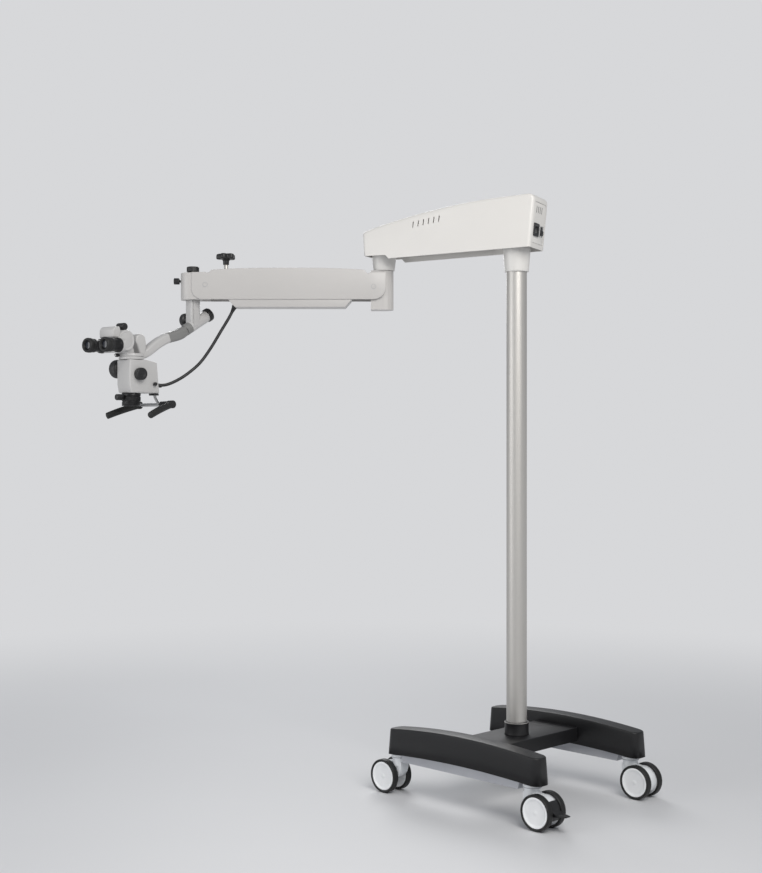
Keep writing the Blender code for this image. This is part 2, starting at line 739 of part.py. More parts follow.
def upper_casting(arm):
    """Cast beam inside the housing, with a bored sleeve under each end."""
    rear = [
        (0, REAR_SLEEVE_BOTTOM), (REAR_SLEEVE_RADIUS, REAR_SLEEVE_BOTTOM),
        (REAR_SLEEVE_TOP_RADIUS, SLEEVE_TOP - 0.010), (REAR_SLEEVE_TOP_RADIUS, SLEEVE_TOP),
        (0.032, SLEEVE_TOP + 0.010), (0.032, CASTING_TOP), (0, CASTING_TOP),
    ]
    made = piece("upper_arm_casting", turned(rear, COLUMN_SIDES), white_paint, arm)
    front = [
        (0, FRONT_SLEEVE_BOTTOM), (FRONT_SLEEVE_RADIUS, FRONT_SLEEVE_BOTTOM),
        (FRONT_SLEEVE_TOP_RADIUS, SLEEVE_TOP - 0.010), (FRONT_SLEEVE_TOP_RADIUS, CASTING_TOP - 0.010),
        (0, CASTING_TOP - 0.010),
    ]
    join(made, helper("casting_front_sleeve", turned(front, 20), arm, (UPPER_ARM_LENGTH, 0, 0)))
    web = block(
        (UPPER_ARM_LENGTH, CASTING_WIDTH, CASTING_TOP - 0.012 - SLEEVE_TOP),
        (UPPER_ARM_LENGTH / 2, 0, (SLEEVE_TOP + CASTING_TOP - 0.012) / 2),
    )
    join(made, helper("casting_web", web, arm))
    reach = UPPER_ARM_WIDTH - 2 * HOUSING_WALL - 2 * GAP
    for name, x in (("rear", 0.075), ("front", 0.375)):
        rib = block((RIB_LENGTH, reach, 0.028), (x, 0, SLEEVE_TOP + 0.017))
        join(made, helper(f"casting_{name}_rib", rib, arm))
    shoulder = COLUMN_TOP + SPINDLE_FLANGE + GAP
    bore = [
        (0, REAR_SLEEVE_BOTTOM - 0.01), (COLUMN_RADIUS + GAP, REAR_SLEEVE_BOTTOM - 0.01),
        (COLUMN_RADIUS + GAP, shoulder), (SPINDLE_RADIUS + GAP, shoulder),
        (SPINDLE_RADIUS + GAP, CASTING_TOP + 0.01), (0, CASTING_TOP + 0.01),
    ]
    cut(made, helper("casting_rear_bore", turned(bore, COLUMN_SIDES), arm))
    pin = rod(SPINDLE_RADIUS + GAP, FRONT_SLEEVE_BOTTOM - 0.01, CASTING_TOP + 0.01, 16)
    cut(made, helper("casting_front_bore", pin, arm, (UPPER_ARM_LENGTH, 0, 0)))
    return made


def power_supply(arm):
    """Ventilated box on the casting, behind the side vents."""
    low = CASTING_TOP - 0.012 + GAP
    bm = block((0.150, 0.090, 0.042), (0.255, 0, low + 0.021))
    return piece("power_supply", bm, satin_metal, arm)


# Lower arm

def link_slot(x, z, reach):
    """Cutter for the slot that a link's eye works in."""
    return block((reach, LINK_WIDTH + 2 * 0.001, 0.036), (x, 0, z))


def cross_pin(name, arm, x, z, radius, half_length):
    """Pin along Y, as a helper shape."""
    bar = rod(radius, -half_length, half_length)
    return helper(name, bar, arm, (x, 0, z), (math.radians(90), 0, 0))


def rear_block(arm):
    """Block that turns under the upper arm and carries the rear ends of both links."""
    half = REAR_BLOCK_RADIUS
    eye_z = REAR_PIN_Z - LINK_DROP
    plan = arc(0, 0, half, 90, 270, 8) + [(REAR_BLOCK_FRONT, -half), (REAR_BLOCK_FRONT, half)]
    made = piece("rear_block", prism(plan, REAR_BLOCK_BOTTOM, BLOCK_TOP), white_paint, arm)
    shaft = rod(SPINDLE_RADIUS, BLOCK_TOP - 0.02, CASTING_TOP - 0.004, 16)
    join(made, helper("rear_block_shaft", shaft, arm))
    cut(made, helper("rear_block_slot", link_slot(REAR_PIN_X, eye_z, 0.030), arm))
    join(made, cross_pin("rear_pin", arm, REAR_PIN_X, REAR_PIN_Z, PIN_RADIUS, ARM_WIDTH / 2))
    join(made, cross_pin("rear_link_pin", arm, REAR_PIN_X, eye_z, LINK_PIN_RADIUS, half - 0.002))
    return made


def arm_outline():
    """Side outline of the spring arm's cover, in the lower arm's frame."""
    rear_round = REAR_PIN_X - ARM_REAR
    middle = (FRONT_STEP_X + REAR_STEP_X) / 2
    half = (FRONT_STEP_X - REAR_STEP_X) / 2
    outline = [(ARM_FRONT, ARM_END_TOP), (FRONT_STEP_X + 0.018, ARM_END_TOP)]
    outline += [(FRONT_STEP_X + 0.0115, ARM_END_TOP - 0.005)]
    for i in range(9):
        share = 1 - i / 4
        outline.append((middle + half * share, ARM_TOP - ROOF_DROP * abs(share) ** 3))
    outline += [(REAR_STEP_X - 0.0115, ARM_END_TOP - 0.006), (REAR_STEP_X - 0.019, ARM_END_TOP)]
    outline += [(ARM_REAR, ARM_END_TOP)]
    outline += arc(ARM_REAR + rear_round, ARM_BOTTOM + rear_round, rear_round, 180, 270, 6)
    outline += arc(ARM_FRONT - 0.034, ARM_BOTTOM + 0.034, 0.034, 270, 360, 6)
    return outline


def spring_arm_cover(lift):
    """Upper link of the spring arm: a channel whose cheeks reach over both blocks."""
    bm = side_prism(arm_outline(), ARM_WIDTH / 2)
    made = piece("spring_arm_cover", bm, white_paint, lift)
    bevel(made, 0.0025, 1, 60)
    inside = ARM_WIDTH - 2 * ARM_WALL
    length = LOWER_ARM_LENGTH + 0.08
    low = PAN_BOTTOM - 0.024
    high = ARM_TOP - ROOF_DROP - ARM_WALL
    channel = block((length, inside, high - low), (LOWER_ARM_LENGTH / 2, 0, (high + low) / 2))
    cut(made, helper("spring_arm_channel", channel, lift))
    for name, x, z in (("rear", REAR_PIN_X, REAR_PIN_Z), ("front", FRONT_PIN_X, FRONT_PIN_Z)):
        bore = cross_pin(f"spring_arm_{name}_bore", lift, x, z, PIN_RADIUS + GAP, ARM_WIDTH)
        cut(made, bore)
    hole = rod(TENSION_STUD_RADIUS + GAP, ARM_TOP - 0.02, ARM_TOP + 0.01)
    cut(made, helper("tension_stud_hole", hole, lift, (TENSION_KNOB_X, 0, 0)))
    return made


def belly_pan(lift):
    """Tray under the channel with sloping ends, its rim tucked up inside the cheeks."""
    outer = ARM_WIDTH / 2 - ARM_WALL - GAP
    rim = ARM_BOTTOM + 0.008
    outline = [
        (PAN_REAR, rim), (PAN_REAR, ARM_BOTTOM), (PAN_REAR + PAN_SLANT, PAN_BOTTOM),
        (PAN_FRONT - PAN_SLANT, PAN_BOTTOM), (PAN_FRONT, ARM_BOTTOM), (PAN_FRONT, rim),
    ]
    made = piece("belly_pan", side_prism(outline, outer), white_paint, lift)
    wall = PAN_WALL
    inner = [
        (PAN_REAR + wall, rim + 0.01), (PAN_REAR + wall, ARM_BOTTOM - 0.001),
        (PAN_REAR + PAN_SLANT + wall, PAN_BOTTOM + wall),
        (PAN_FRONT - PAN_SLANT - wall, PAN_BOTTOM + wall), (PAN_FRONT - wall, ARM_BOTTOM - 0.001),
        (PAN_FRONT - wall, rim + 0.01),
    ]
    cut(made, helper("belly_pan_inside", side_prism(inner, outer - wall), lift))
    middle = (LOWER_ARM_LENGTH / 2, 0, ARM_BOTTOM + 0.015)
    way = block((LOWER_ARM_LENGTH + 0.1, LINK_WIDTH + 0.010, 0.03), middle)
    cut(made, helper("belly_pan_link_way", way, lift))
    return made


def light_engine(lift):
    """Lamp module in the tray that feeds the light guide."""
    low = PAN_BOTTOM + PAN_WALL + GAP
    middle = (PAN_FRONT - 0.094, 0, low + 0.011)
    return piece("light_engine", block((0.110, 0.050, 0.022), middle), black_plastic, lift)


def lower_link(link):
    """Flat link that keeps the front block level, with an eye at each end."""
    length = math.hypot(FRONT_PIN_X - REAR_PIN_X, FRONT_PIN_Z - REAR_PIN_Z)
    eye = LINK_HEIGHT / 2 + 0.002
    outline = arc(0, 0, eye, 50, 310, 8) + arc(length, 0, eye, -130, 130, 8)
    slope = math.atan2(FRONT_PIN_Z - REAR_PIN_Z, FRONT_PIN_X - REAR_PIN_X)
    bm = side_prism(outline, LINK_WIDTH / 2)
    made = piece("lower_link", bm, satin_metal, link, (0, 0, 0), (0, -slope, 0))
    for name, x in (("rear", 0), ("front", length)):
        bore = rod(LINK_PIN_RADIUS + GAP, -LINK_WIDTH, LINK_WIDTH)
        spot = (x * math.cos(slope), 0, x * math.sin(slope))
        cut(made, helper(f"lower_link_{name}_bore", bore, link, spot, (math.radians(90), 0, 0)))
    return made


def gas_spring(lift):
    """Balance spring along the channel, hung from the tension stud by its carriage."""
    start = SPRING_REAR
    shoulder = start + SPRING_CYLINDER
    tip = TENSION_KNOB_X - 0.014
    barrel = [
        (0, start), (0.006, start), (0.006, start + 0.012), (0.013, start + 0.014), (0.013, shoulder),
        (0.005, shoulder + 0.002), (0.005, tip), (0, tip),
    ]
    bm = turned(barrel, 16)
    turn = (0, math.radians(90), 0)
    made = piece("gas_spring", bm, satin_metal, lift, (0, 0, SPRING_AXIS_Z), turn)
    high = ARM_TOP - ROOF_DROP - ARM_WALL - GAP
    carriage = block((0.036, 0.040, 0.034), (TENSION_KNOB_X, 0, high - 0.017))
    join(made, helper("spring_carriage", carriage, lift))
    bore = rod(TENSION_STUD_RADIUS + GAP, high - 0.040, ARM_TOP)
    cut(made, helper("spring_carriage_bore", bore, lift, (TENSION_KNOB_X, 0, 0)))
    return made


def lift_tension_knob(knob):
    """Star knob on a bright stud that sets how much weight the spring balances."""
    low = ARM_TOP - 0.0275
    high = ARM_TOP + 0.0135
    stud = [
        (0, low), (TENSION_STUD_RADIUS, low), (TENSION_STUD_RADIUS, high), (0.009, high + 0.001),
        (0.010, high + 0.010), (0.016, high + 0.013), (0.016, high + 0.030), (0, high + 0.030),
    ]
    made = piece("lift_tension_knob", turned(stud, 20), black_plastic, knob)
    lobes = []
    for i in range(40):
        angle = math.tau * i / 40
        reach = 0.0275 + 0.004 * math.cos(5 * angle)
        lobes.append((reach * math.cos(angle), reach * math.sin(angle)))
    head = piece("star_head", prism(lobes, high + 0.0125, high + 0.0345), black_plastic, knob)
    head.hide_render = True
    head.display_type = "WIRE"
    bevel(head, 0.003, 1, 50)
    join(made, head)
    return made


def front_block(level):
    """Block at the far end of the spring arm that stays level and holds the post."""
    half = FRONT_BLOCK_WIDTH / 2
    eye_z = FRONT_PIN_Z - LINK_DROP
    round_x = FRONT_BLOCK_FRONT - half
    plan = arc(round_x, 0, half, -90, 90, 8) + [(FRONT_BLOCK_REAR, half), (FRONT_BLOCK_REAR, -half)]
    made = piece("front_block", prism(plan, ARM_BOTTOM, FRONT_BLOCK_TOP), white_paint, level)
    cut(made, helper("front_block_slot", link_slot(FRONT_PIN_X, eye_z, 0.028), level))
    join(made, cross_pin("front_pin", level, FRONT_PIN_X, FRONT_PIN_Z, PIN_RADIUS, ARM_WIDTH / 2))
    join(made, cross_pin("front_link_pin", level, FRONT_PIN_X, eye_z, LINK_PIN_RADIUS, half - 0.002))
    bore = rod(POST_SPINDLE_RADIUS + GAP, ARM_BOTTOM - 0.01, FRONT_BLOCK_TOP + 0.01, 16)
    cut(made, helper("front_block_bore", bore, level, (LOWER_ARM_LENGTH, 0, 0)))
    thread = rod(0.0043, 0.010, 0.06)
    spot = (LOWER_ARM_LENGTH, 0, CLAMP_SCREW_Z)
    cut(made, helper("front_block_screw_hole", thread, level, spot, (0, math.radians(90), 0)))
    return made


def post_clamp_screw(screw):
    """Thumb screw on the block's nose that clamps the post."""
    nose = FRONT_BLOCK_FRONT - LOWER_ARM_LENGTH
    profile = [
        (0, 0.017), (0.004, 0.017), (0.004, nose + 0.004), (0.0085, nose + 0.004),
        (0.010, nose + 0.006), (0.010, nose + 0.020), (0.009, nose + 0.022), (0, nose + 0.022),
    ]
    bm = turned(profile, 20)
    bm.transform(Matrix.Rotation(math.radians(90), 4, "Y"))
    return piece("post_clamp_screw", bm, black_plastic, screw)


# Post, inclined joint and swan arm

def swivel_post(post, tilt):
    """Post with a spindle in the front block, a grooved body and a slanting barrel."""
    half = POST_WIDTH / 2
    groove = 0.004
    plan = rounded_rectangle(POST_WIDTH, POST_DEPTH, 0.010, 2)
    bm = prism(plan, 1.385, ARM_BOTTOM - GAP)
    along = Vector((0, math.cos(BARREL_TILT), math.sin(BARREL_TILT)))
    above = Vector((0, -along.z, along.y))
    foot = Vector((0, BARREL_FOOT_Y, BARREL_FOOT_Z))
    slice_off(bm, foot + along * 0.001, along)
    slice_off(bm, foot - above * 0.003, above)
    made = piece("swivel_post", bm, white_paint, post)
    trench = block((groove, groove, 0.09), (half - 0.0015, 0.0055 - POST_DEPTH / 2, 1.455))
    cut(made, helper("post_groove", trench, post))
    join(made, helper("post_barrel", rod(BARREL_RADIUS, GAP, BARREL_LENGTH, 20), tilt))
    spindle = rod(POST_SPINDLE_RADIUS, ARM_BOTTOM - 0.02, POST_SPINDLE_TOP, 16)
    join(made, helper("post_spindle", spindle, post))
    tap = rod(0.0083, POST_SPINDLE_TOP - 0.012, POST_SPINDLE_TOP + 0.01)
    cut(made, helper("post_spindle_tap", tap, post))
    bolt = rod(0.0063, BARREL_LENGTH - 0.012, BARREL_LENGTH + 0.01)
    cut(made, helper("barrel_tap", bolt, tilt))
    side_tap = rod(0.0063, -0.03, -0.012)
    cut(made, helper("friction_tap", side_tap, post, (0, 0, FRICTION_KNOB_Z), (0, math.radians(90), 0)))
    return made


def post_tension_knob(post):
    """Knurled knob on top of the post's spindle."""
    low = FRONT_BLOCK_TOP + GAP
    profile = [
        (0, POST_SPINDLE_TOP - 0.0115), (0.008, POST_SPINDLE_TOP - 0.0115), (0.008, low),
        (0.014, low), (0.014, low + 0.004), (0.0185, low + 0.005), (0.0195, low + 0.007),
        (0.0195, low + 0.018), (0.0175, low + 0.0205), (0, low + 0.0205),
    ]
    return piece("post_tension_knob", turned(profile, 20), black_plastic, post)


def tilt_knob(tilt):
    """Round knob on the barrel's upper end."""
    face = BARREL_LENGTH + GAP
    profile = [
        (0, BARREL_LENGTH - 0.0115), (0.006, BARREL_LENGTH - 0.0115), (0.006, face), (0.019, face),
        (0.0215, face + 0.002), (0.0215, face + 0.014), (0.018, face + 0.017), (0, face + 0.017),
    ]
    return piece("tilt_knob", turned(profile, 20), black_plastic, tilt)


def tilt_friction_knob(friction):
    """Broad knob on the post's far side."""
    start = POST_WIDTH / 2 + GAP
    profile = [
        (0, 0.0125), (0.006, 0.0125), (0.006, start), (0.012, start), (0.014, start + 0.006),
        (0.022, start + 0.009), (0.022, start + 0.022), (0.019, start + 0.0255), (0, start + 0.0255),
    ]
    bm = turned(profile, 20)
    bm.transform(Matrix.Rotation(math.radians(-90), 4, "Y"))
    return piece("tilt_friction_knob", bm, black_plastic, friction)


def swan_arm(post, tilt):
    """Curved arm from the inclined joint down to the ring that holds the head."""
    flange = rod(BARREL_RADIUS - 0.0005, -0.030, -GAP, 20)
    made = piece("swan_arm", flange, white_paint, tilt)
    full = SWAN_THICKNESS
    stations = [
        (0, -0.0239, 1.4063, 0.8, 0.8), (0, -0.0342, 1.3998, 0.9, 0.9), (0, -0.048, 1.3915, 1, 1),
        (0, -0.064, 1.3850, 1, 0.98),
        (0, -0.080, 1.3805, 1, 0.96), (0, -0.100, 1.3750, 1, 0.92), (0, -0.120, 1.3665, 1, 0.92),
        (0, -0.140, 1.3550, 1, 0.92), (0, -0.160, 1.3410, 1, 0.92), (0, -0.178, 1.3270, 1, 0.85),
        (0, -0.192, 1.3170, 1, 0.6),
    ]
    section = rounded_rectangle(SWAN_WIDTH, full, 0.011, 2)
    join(made, helper("swan_bend", swept(stations, section), post))
    lobe = arc(-0.213, YOKE_Z, 0.019, 30, 230, 7)
    lobe += [(-0.211, HEAD_TOP + 0.002), (-0.197, HEAD_TOP + 0.002), (-0.1925, YOKE_Z - 0.010)]
    yoke = prism(lobe, -0.024, 0.024)
    yoke.transform(Matrix(((0, 0, 1, 0), (1, 0, 0, 0), (0, 1, 0, 0), (0, 0, 0, 1))))
    yoke_shape = helper("swan_yoke", yoke, post)
    bevel(yoke_shape, 0.005, 1, 50)
    join(made, yoke_shape)
    ring = rod(RING_RADIUS - 0.001, HEAD_TOP + GAP, NECK_TOP + 0.002, 28)
    join(made, helper("swan_ring", ring, post, (0, OPTICAL_Y, 0)))
    bore = rod(NECK_RADIUS + GAP, HEAD_TOP - 0.01, RING_TOP, 20)
    cut(made, helper("swan_ring_bore", bore, post, (0, OPTICAL_Y, 0)))
    seat = turned([(0, NECK_TOP - GAP), (RING_RADIUS + 0.001, NECK_TOP - GAP),
                   (RING_RADIUS + 0.001, RING_TOP + 0.001), (0, RING_TOP + 0.001)], 28)
    cut(made, helper("swan_flange_room", seat, post, (0, OPTICAL_Y, 0)))
    return made


# Head. Its frame has X to the near side and Y to the back, as the post's has

def head_body(head):
    """Die-cast body with a sloping top, a raking back and a chamfered chin."""
    front, rear = HEAD_FRONT, HEAD_REAR
    outline = [
        (front, HEAD_TOP - 0.075), (front + 0.005, HEAD_BOTTOM), (rear, HEAD_BOTTOM),
        (rear - 0.009, HEAD_TOP - 0.009),
        (rear - 0.012, HEAD_TOP - 0.0065), (OPTICAL_Y + 0.030, HEAD_TOP), (front, HEAD_TOP),
    ]
    bm = prism(outline, -HEAD_WIDTH / 2, HEAD_WIDTH / 2)
    bm.transform(Matrix(((0, 0, 1, 0), (1, 0, 0, 0), (0, 1, 0, 0), (0, 0, 0, 1))))
    made = piece("head_body", bm, white_paint, head, (0, -OPTICAL_Y, 0))
    bevel(made, 0.004, 2, 60)
    join(made, helper("head_neck", rod(NECK_RADIUS, HEAD_TOP - 0.01, NECK_TOP, 32), head))
    bore = rod(OBJECTIVE_NECK_RADIUS + GAP, HEAD_BOTTOM - 0.01, HEAD_BOTTOM + OBJECTIVE_NECK_LENGTH + GAP, 24)
    cut(made, helper("head_objective_bore", bore, head))
    for name, x, y, z in (
        ("zoom", HEAD_WIDTH / 2, ZOOM_KNOB_Y, ZOOM_KNOB_Z),
        ("side", -HEAD_WIDTH / 2, SIDE_KNOB_Y, SIDE_KNOB_Z),
    ):
        tap = rod(0.0053, -0.010, 0.010)
        cut(made, helper(f"head_{name}_tap", tap, head, (x, y, z), (0, math.radians(90), 0)))
    return made


def zoom_knob(spot):
    """Near-side knob that changes the magnification."""
    start = GAP
    profile = [
        (0, -0.0095), (0.005, -0.0095), (0.005, start), (0.017, start),
        (ZOOM_KNOB_RADIUS, start + 0.003), (ZOOM_KNOB_RADIUS, start + 0.016),
        (0.0165, start + 0.019), (0.008, start + 0.0175), (0, start + 0.0175),
    ]
    bm = turned(profile, 20)
    bm.transform(Matrix.Rotation(math.radians(90), 4, "Y"))
    return piece("zoom_knob", bm, black_plastic, spot)


def filter_knob(spot):
    """Large far-side knob."""
    start = GAP
    profile = [
        (0, -0.0095), (0.005, -0.0095), (0.005, start), (0.024, start), (SIDE_KNOB_RADIUS, start + 0.004),
        (SIDE_KNOB_RADIUS, start + 0.026), (0.025, start + 0.030), (0, start + 0.030),
    ]
    bm = turned(profile, 20)
    bm.transform(Matrix.Rotation(math.radians(-90), 4, "Y"))
    return piece("filter_knob", bm, black_plastic, spot)


def objective(lens):
    """Stepped objective barrel with its neck in the head and a shallow front recess."""
    low, high = OBJECTIVE_BOTTOM, HEAD_BOTTOM - GAP
    top = HEAD_BOTTOM + OBJECTIVE_NECK_LENGTH
    radius = OBJECTIVE_RADIUS
    profile = [
        (0, low + 0.003), (0.020, low + 0.003), (0.022, low), (radius - 0.001, low), (radius, low + 0.001),
        (radius, low + 0.012), (radius - 0.002, low + 0.013), (radius - 0.002, high - 0.010),
        (radius, high - 0.009), (radius, high), (OBJECTIVE_NECK_RADIUS, high),
        (OBJECTIVE_NECK_RADIUS, top), (0, top),
    ]
    made = piece("objective", turned(profile, 20), black_plastic, lens)
    tap = rod(0.0033, 0.020, 0.040)
    cut(made, helper("objective_tap", tap, lens, (0, 0, FOCUS_KNOB_Z), (math.radians(90), 0, 0)))
    return made


def focus_knob(spot):
    """Small knob on a stem in front of the objective."""
    profile = [
        (0, 0.0205), (0.003, 0.0205), (0.003, 0.035), (0.008, 0.035), (0.0095, 0.037),
        (0.0095, 0.052), (0.0085, 0.054), (0, 0.054),
    ]
    bm = turned(profile, 16)
    bm.transform(Matrix.Rotation(math.radians(90), 4, "X"))
    return piece("focus_knob", bm, black_plastic, spot)


def handle_bar(head):
    """Bright cross bar on a slanting hanger rod, with its black clamp."""
    bar = rod(HANDLE_BAR_RADIUS, -HANDLE_REACH, HANDLE_REACH, 16)
    spot = (0, HANDLE_BAR_Y - OPTICAL_Y, HANDLE_BAR_Z)
    turn = (0, math.radians(90), 0)
    made = piece("handle_bar", bar, satin_metal, head, spot, turn)
    top = Vector((HANGER_X, HANGER_Y - OPTICAL_Y, HEAD_BOTTOM - GAP))
    low = Vector((HANGER_X, spot[1], HANDLE_BAR_Z))
    bend = ((low.y + top.y) / 2 + 0.002, (low.z + top.z) / 2 + 0.001)
    hanger = swept(
        [(HANGER_X, low.y, low.z, 1, 1), (HANGER_X, *bend, 1, 1), (HANGER_X, top.y, top.z - 0.004, 1, 1)],
        rounded_rectangle(0.008, 0.008, 0.0035, 2),
    )
    join(made, helper("handle_hanger", hanger, head))
    plate = block((0.030, 0.018, 0.006), (HANGER_X - 0.004, top.y, HEAD_BOTTOM - GAP - 0.003))
    join(made, helper("handle_plate", plate, head))
    clamp = rod(0.010, 0.036, 0.062, 16)
    join(made, helper("handle_clamp", clamp, head, spot, turn))
    return made


def handle(name, hinge, side):
    """Grip on one end of the cross bar: a hub and a slightly arched rubber grip."""
    hub = rod(0.0120, -0.011, 0.011, 16)
    spot = (side * (HANDLE_REACH + 0.005), 0, 0)
    made = piece(name, hub, black_rubber, hinge, spot, (0, math.radians(90), 0))
    start = Vector((side * (HANDLE_REACH + 0.006), -0.004, -0.002))
    end = Vector((side * (HANDLE_REACH + 0.034), -0.098, -0.035))
    rings = []
    outline = arc(0, 0, GRIP_RADIUS, 0, 324, 9)
    along = (end - start).normalized()
    across = along.cross(Vector((0, 0, 1))).normalized()
    up = across.cross(along)
    sizes = ((0, 0.9), (0.12, 0.95), (0.3, 1.0), (0.5, 1.02), (0.7, 1.0), (0.88, 1.0), (0.97, 0.95), (1, 0.7))
    for share, size in sizes:
        rise = 0.002 * math.sin(math.pi * share)
        middle = start.lerp(end, share) + Vector((0, 0, rise))
        rings.append([middle + across * (a * size) + up * (b * size) for a, b in outline])
    join(made, helper(name + "_grip", lofted(rings), hinge))
    bore = rod(HANDLE_BAR_RADIUS + GAP, -0.03, HANDLE_REACH + GAP)
    cut(made, helper(name + "_bore", bore, hinge, (0, 0, 0), (0, math.radians(90 * side), 0)))
    return made


def light_lever(spot):
    """Small oval lever on the near side of the head."""
    profile = [
        (0, GAP), (0.0035, GAP), (0.0035, 0.003), (0.006, 0.004), (0.006, 0.009),
        (0.0045, 0.0105), (0, 0.0105),
    ]
    bm = turned(profile, 16)
    bm.transform(Matrix.Rotation(math.radians(90), 4, "Y"))
    bmesh.ops.scale(bm, verts=bm.verts, vec=(1, 1, 0.75))
    return piece("light_lever", bm, black_plastic, spot)


# Binocular tube. Its frame stands on the optical axis, with Y to the back

def binocular_mount(turn):
    """Flange on the head's neck and the cradle that the drum tilts in."""
    flange = [
        (0, NECK_TOP + GAP), (RING_RADIUS - 0.001, NECK_TOP + GAP), (RING_RADIUS, NECK_TOP + 0.0015),
        (RING_RADIUS, RING_TOP - 0.002), (RING_RADIUS - 0.0015, RING_TOP), (0, RING_TOP),
    ]
    made = piece("binocular_mount", turned(flange, 24), white_paint, turn)
    hollow = arc(DRUM_Y, DRUM_Z, DRUM_RADIUS + GAP, 0, -75, 5)
    outline = hollow + [(-0.036, RING_TOP - 0.004), (-0.004, RING_TOP - 0.004), (-0.012, RING_TOP + 0.019)]
    cradle = prism(outline, -0.020, 0.020)
    cradle.transform(Matrix(((0, 0, 1, 0), (1, 0, 0, 0), (0, 1, 0, 0), (0, 0, 0, 1))))
    join(made, helper("binocular_cradle", cradle, turn))
    return made


def prism_housing(tilt):
    """Drum, prism box above it and the plate that the eyepiece tubes slide on."""
    drum = [
        (0, -DRUM_WIDTH / 2), (DRUM_RADIUS - 0.002, -DRUM_WIDTH / 2), (DRUM_RADIUS, -DRUM_WIDTH / 2 + 0.002),
        (DRUM_RADIUS, DRUM_WIDTH / 2 - 0.002), (DRUM_RADIUS - 0.002, DRUM_WIDTH / 2), (0, DRUM_WIDTH / 2),
    ]
    bm = turned(drum, 24)
    bm.transform(Matrix.Rotation(math.radians(90), 4, "Y"))
    made = piece("prism_housing", bm, white_paint, tilt)
    outline = [
        (-0.052, 0.006), (-0.026, 0.006), (-0.021, 0.024), (-0.025, 0.040), (-0.043, 0.039), (-0.052, 0.030),
    ]
    box = prism(outline, -0.031, 0.031)
    box.transform(Matrix(((0, 0, 1, 0), (1, 0, 0, 0), (0, 1, 0, 0), (0, 0, 0, 1))))
    box_shape = helper("prism_box", box, tilt)
    bevel(box_shape, 0.004, 2, 40)
    join(made, box_shape)
    front = EYE_BASE_Y - DRUM_Y + GAP
    drop = EYE_Z - DRUM_Z
    plate = rounded_rectangle(0.104, 0.040, 0.018, 4, 0, drop)
    slab = prism(plate, 0.0, 0.014)
    slab.transform(Matrix.Rotation(math.radians(90), 4, "X"))
    slab.transform(Matrix.Translation((0, front + 0.014, 0)))
    join(made, helper("slide_plate", slab, tilt))
    return made


def ocular(name, slide):
    """Eyepiece tube: base ring, waist, knurled dioptre ring and rubber eyecup."""
    length = EYE_BASE_Y - EYE_FACE_Y
    profile = [
        (0, 0), (0.0215, 0), (0.0215, 0.012), (0.0185, 0.014), (0.0185, length - 0.031),
        (0.0205, length - 0.029), (0.0205, length - 0.020), (EYE_RADIUS - 0.001, length - 0.018),
        (EYE_RADIUS, length - 0.006),
        (EYE_RADIUS - 0.002, length), (0.0145, length), (0.0125, length - 0.0035), (0, length - 0.0035),
    ]
    bm = turned(profile, 20)
    bm.transform(Matrix.Rotation(math.radians(90), 4, "X"))
    return piece(name, bm, black_rubber, slide)


def spacing_knob(spot):
    """Knurled knob across the top of the drum that sets the eye spacing."""
    profile = [
        (0, -0.015), (0.0095, -0.015), (0.011, -0.0135), (0.011, 0.0135), (0.0095, 0.015), (0, 0.015),
    ]
    bm = turned(profile, 20)
    bm.transform(Matrix.Rotation(math.radians(90), 4, "Y"))
    return piece("spacing_knob", bm, black_plastic, spot)


def binocular_lock_screw(turn):
    """Thumb screw in the flange, with a bright tip."""
    profile = [
        (0, 0), (0.003, 0), (0.003, 0.004), (0.0058, 0.005), (0.0058, 0.013), (0.0035, 0.014),
        (0.003, 0.018), (0, 0.018),
    ]
    bm = turned(profile, 14)
    bm.transform(Matrix.Rotation(math.radians(90), 4, "X"))
    return piece("binocular_lock_screw", bm, black_plastic, turn)


def guide_route():
    """Points chosen along the light guide, measured from the foot of the column."""
    return [
        (-0.7553, -0.4700, 1.4768), (-0.7613, -0.4871, 1.4424), (-0.7698, -0.5110, 1.4014),
        (-0.7808, -0.5425, 1.3474), (-0.7917, -0.5739, 1.3023), (-0.8024, -0.6051, 1.2725),
        (-0.8140, -0.6392, 1.2480), (-0.8254, -0.6731, 1.2316), (-0.8336, -0.6979, 1.2275),
        (-0.8395, -0.7120, 1.2280),
    ]


def smooth_points(points, per_span):
    """Points read from a smooth curve through the chosen ones."""
    ends = [points[0]] + points + [points[-1]]
    smooth = []
    for p0, p1, p2, p3 in zip(ends, ends[1:], ends[2:], ends[3:]):
        a, b, c, d = Vector(p0), Vector(p1), Vector(p2), Vector(p3)
        for i in range(per_span):
            t = i / per_span
            bend = (2 * a - 5 * b + 4 * c - d) * t ** 2 + (3 * b - a - 3 * c + d) * t ** 3
            smooth.append(0.5 * (2 * b + (c - a) * t + bend))
    smooth.append(Vector(points[-1]))
    return smooth


def light_guide(stand):
    """Flexible light guide from the belly pan down to the back of the head."""
    points = smooth_points(guide_route(), 2)
    curve = bpy.data.curves.new("light_guide", "CURVE")
    curve.dimensions = "3D"
    curve.bevel_depth = GUIDE_RADIUS
    curve.bevel_resolution = 2
    curve.use_fill_caps = True
    curve.render_resolution_u = 0
    line = curve.splines.new("POLY")
    line.points.add(len(points) - 1)
    for spot, point in zip(line.points, points):
        spot.co = (*point, 1.0)
    curve.materials.append(black_rubber())
    made = bpy.data.objects.new("light_guide", curve)
    bpy.context.scene.collection.objects.link(made)
    made.parent = stand
    return made


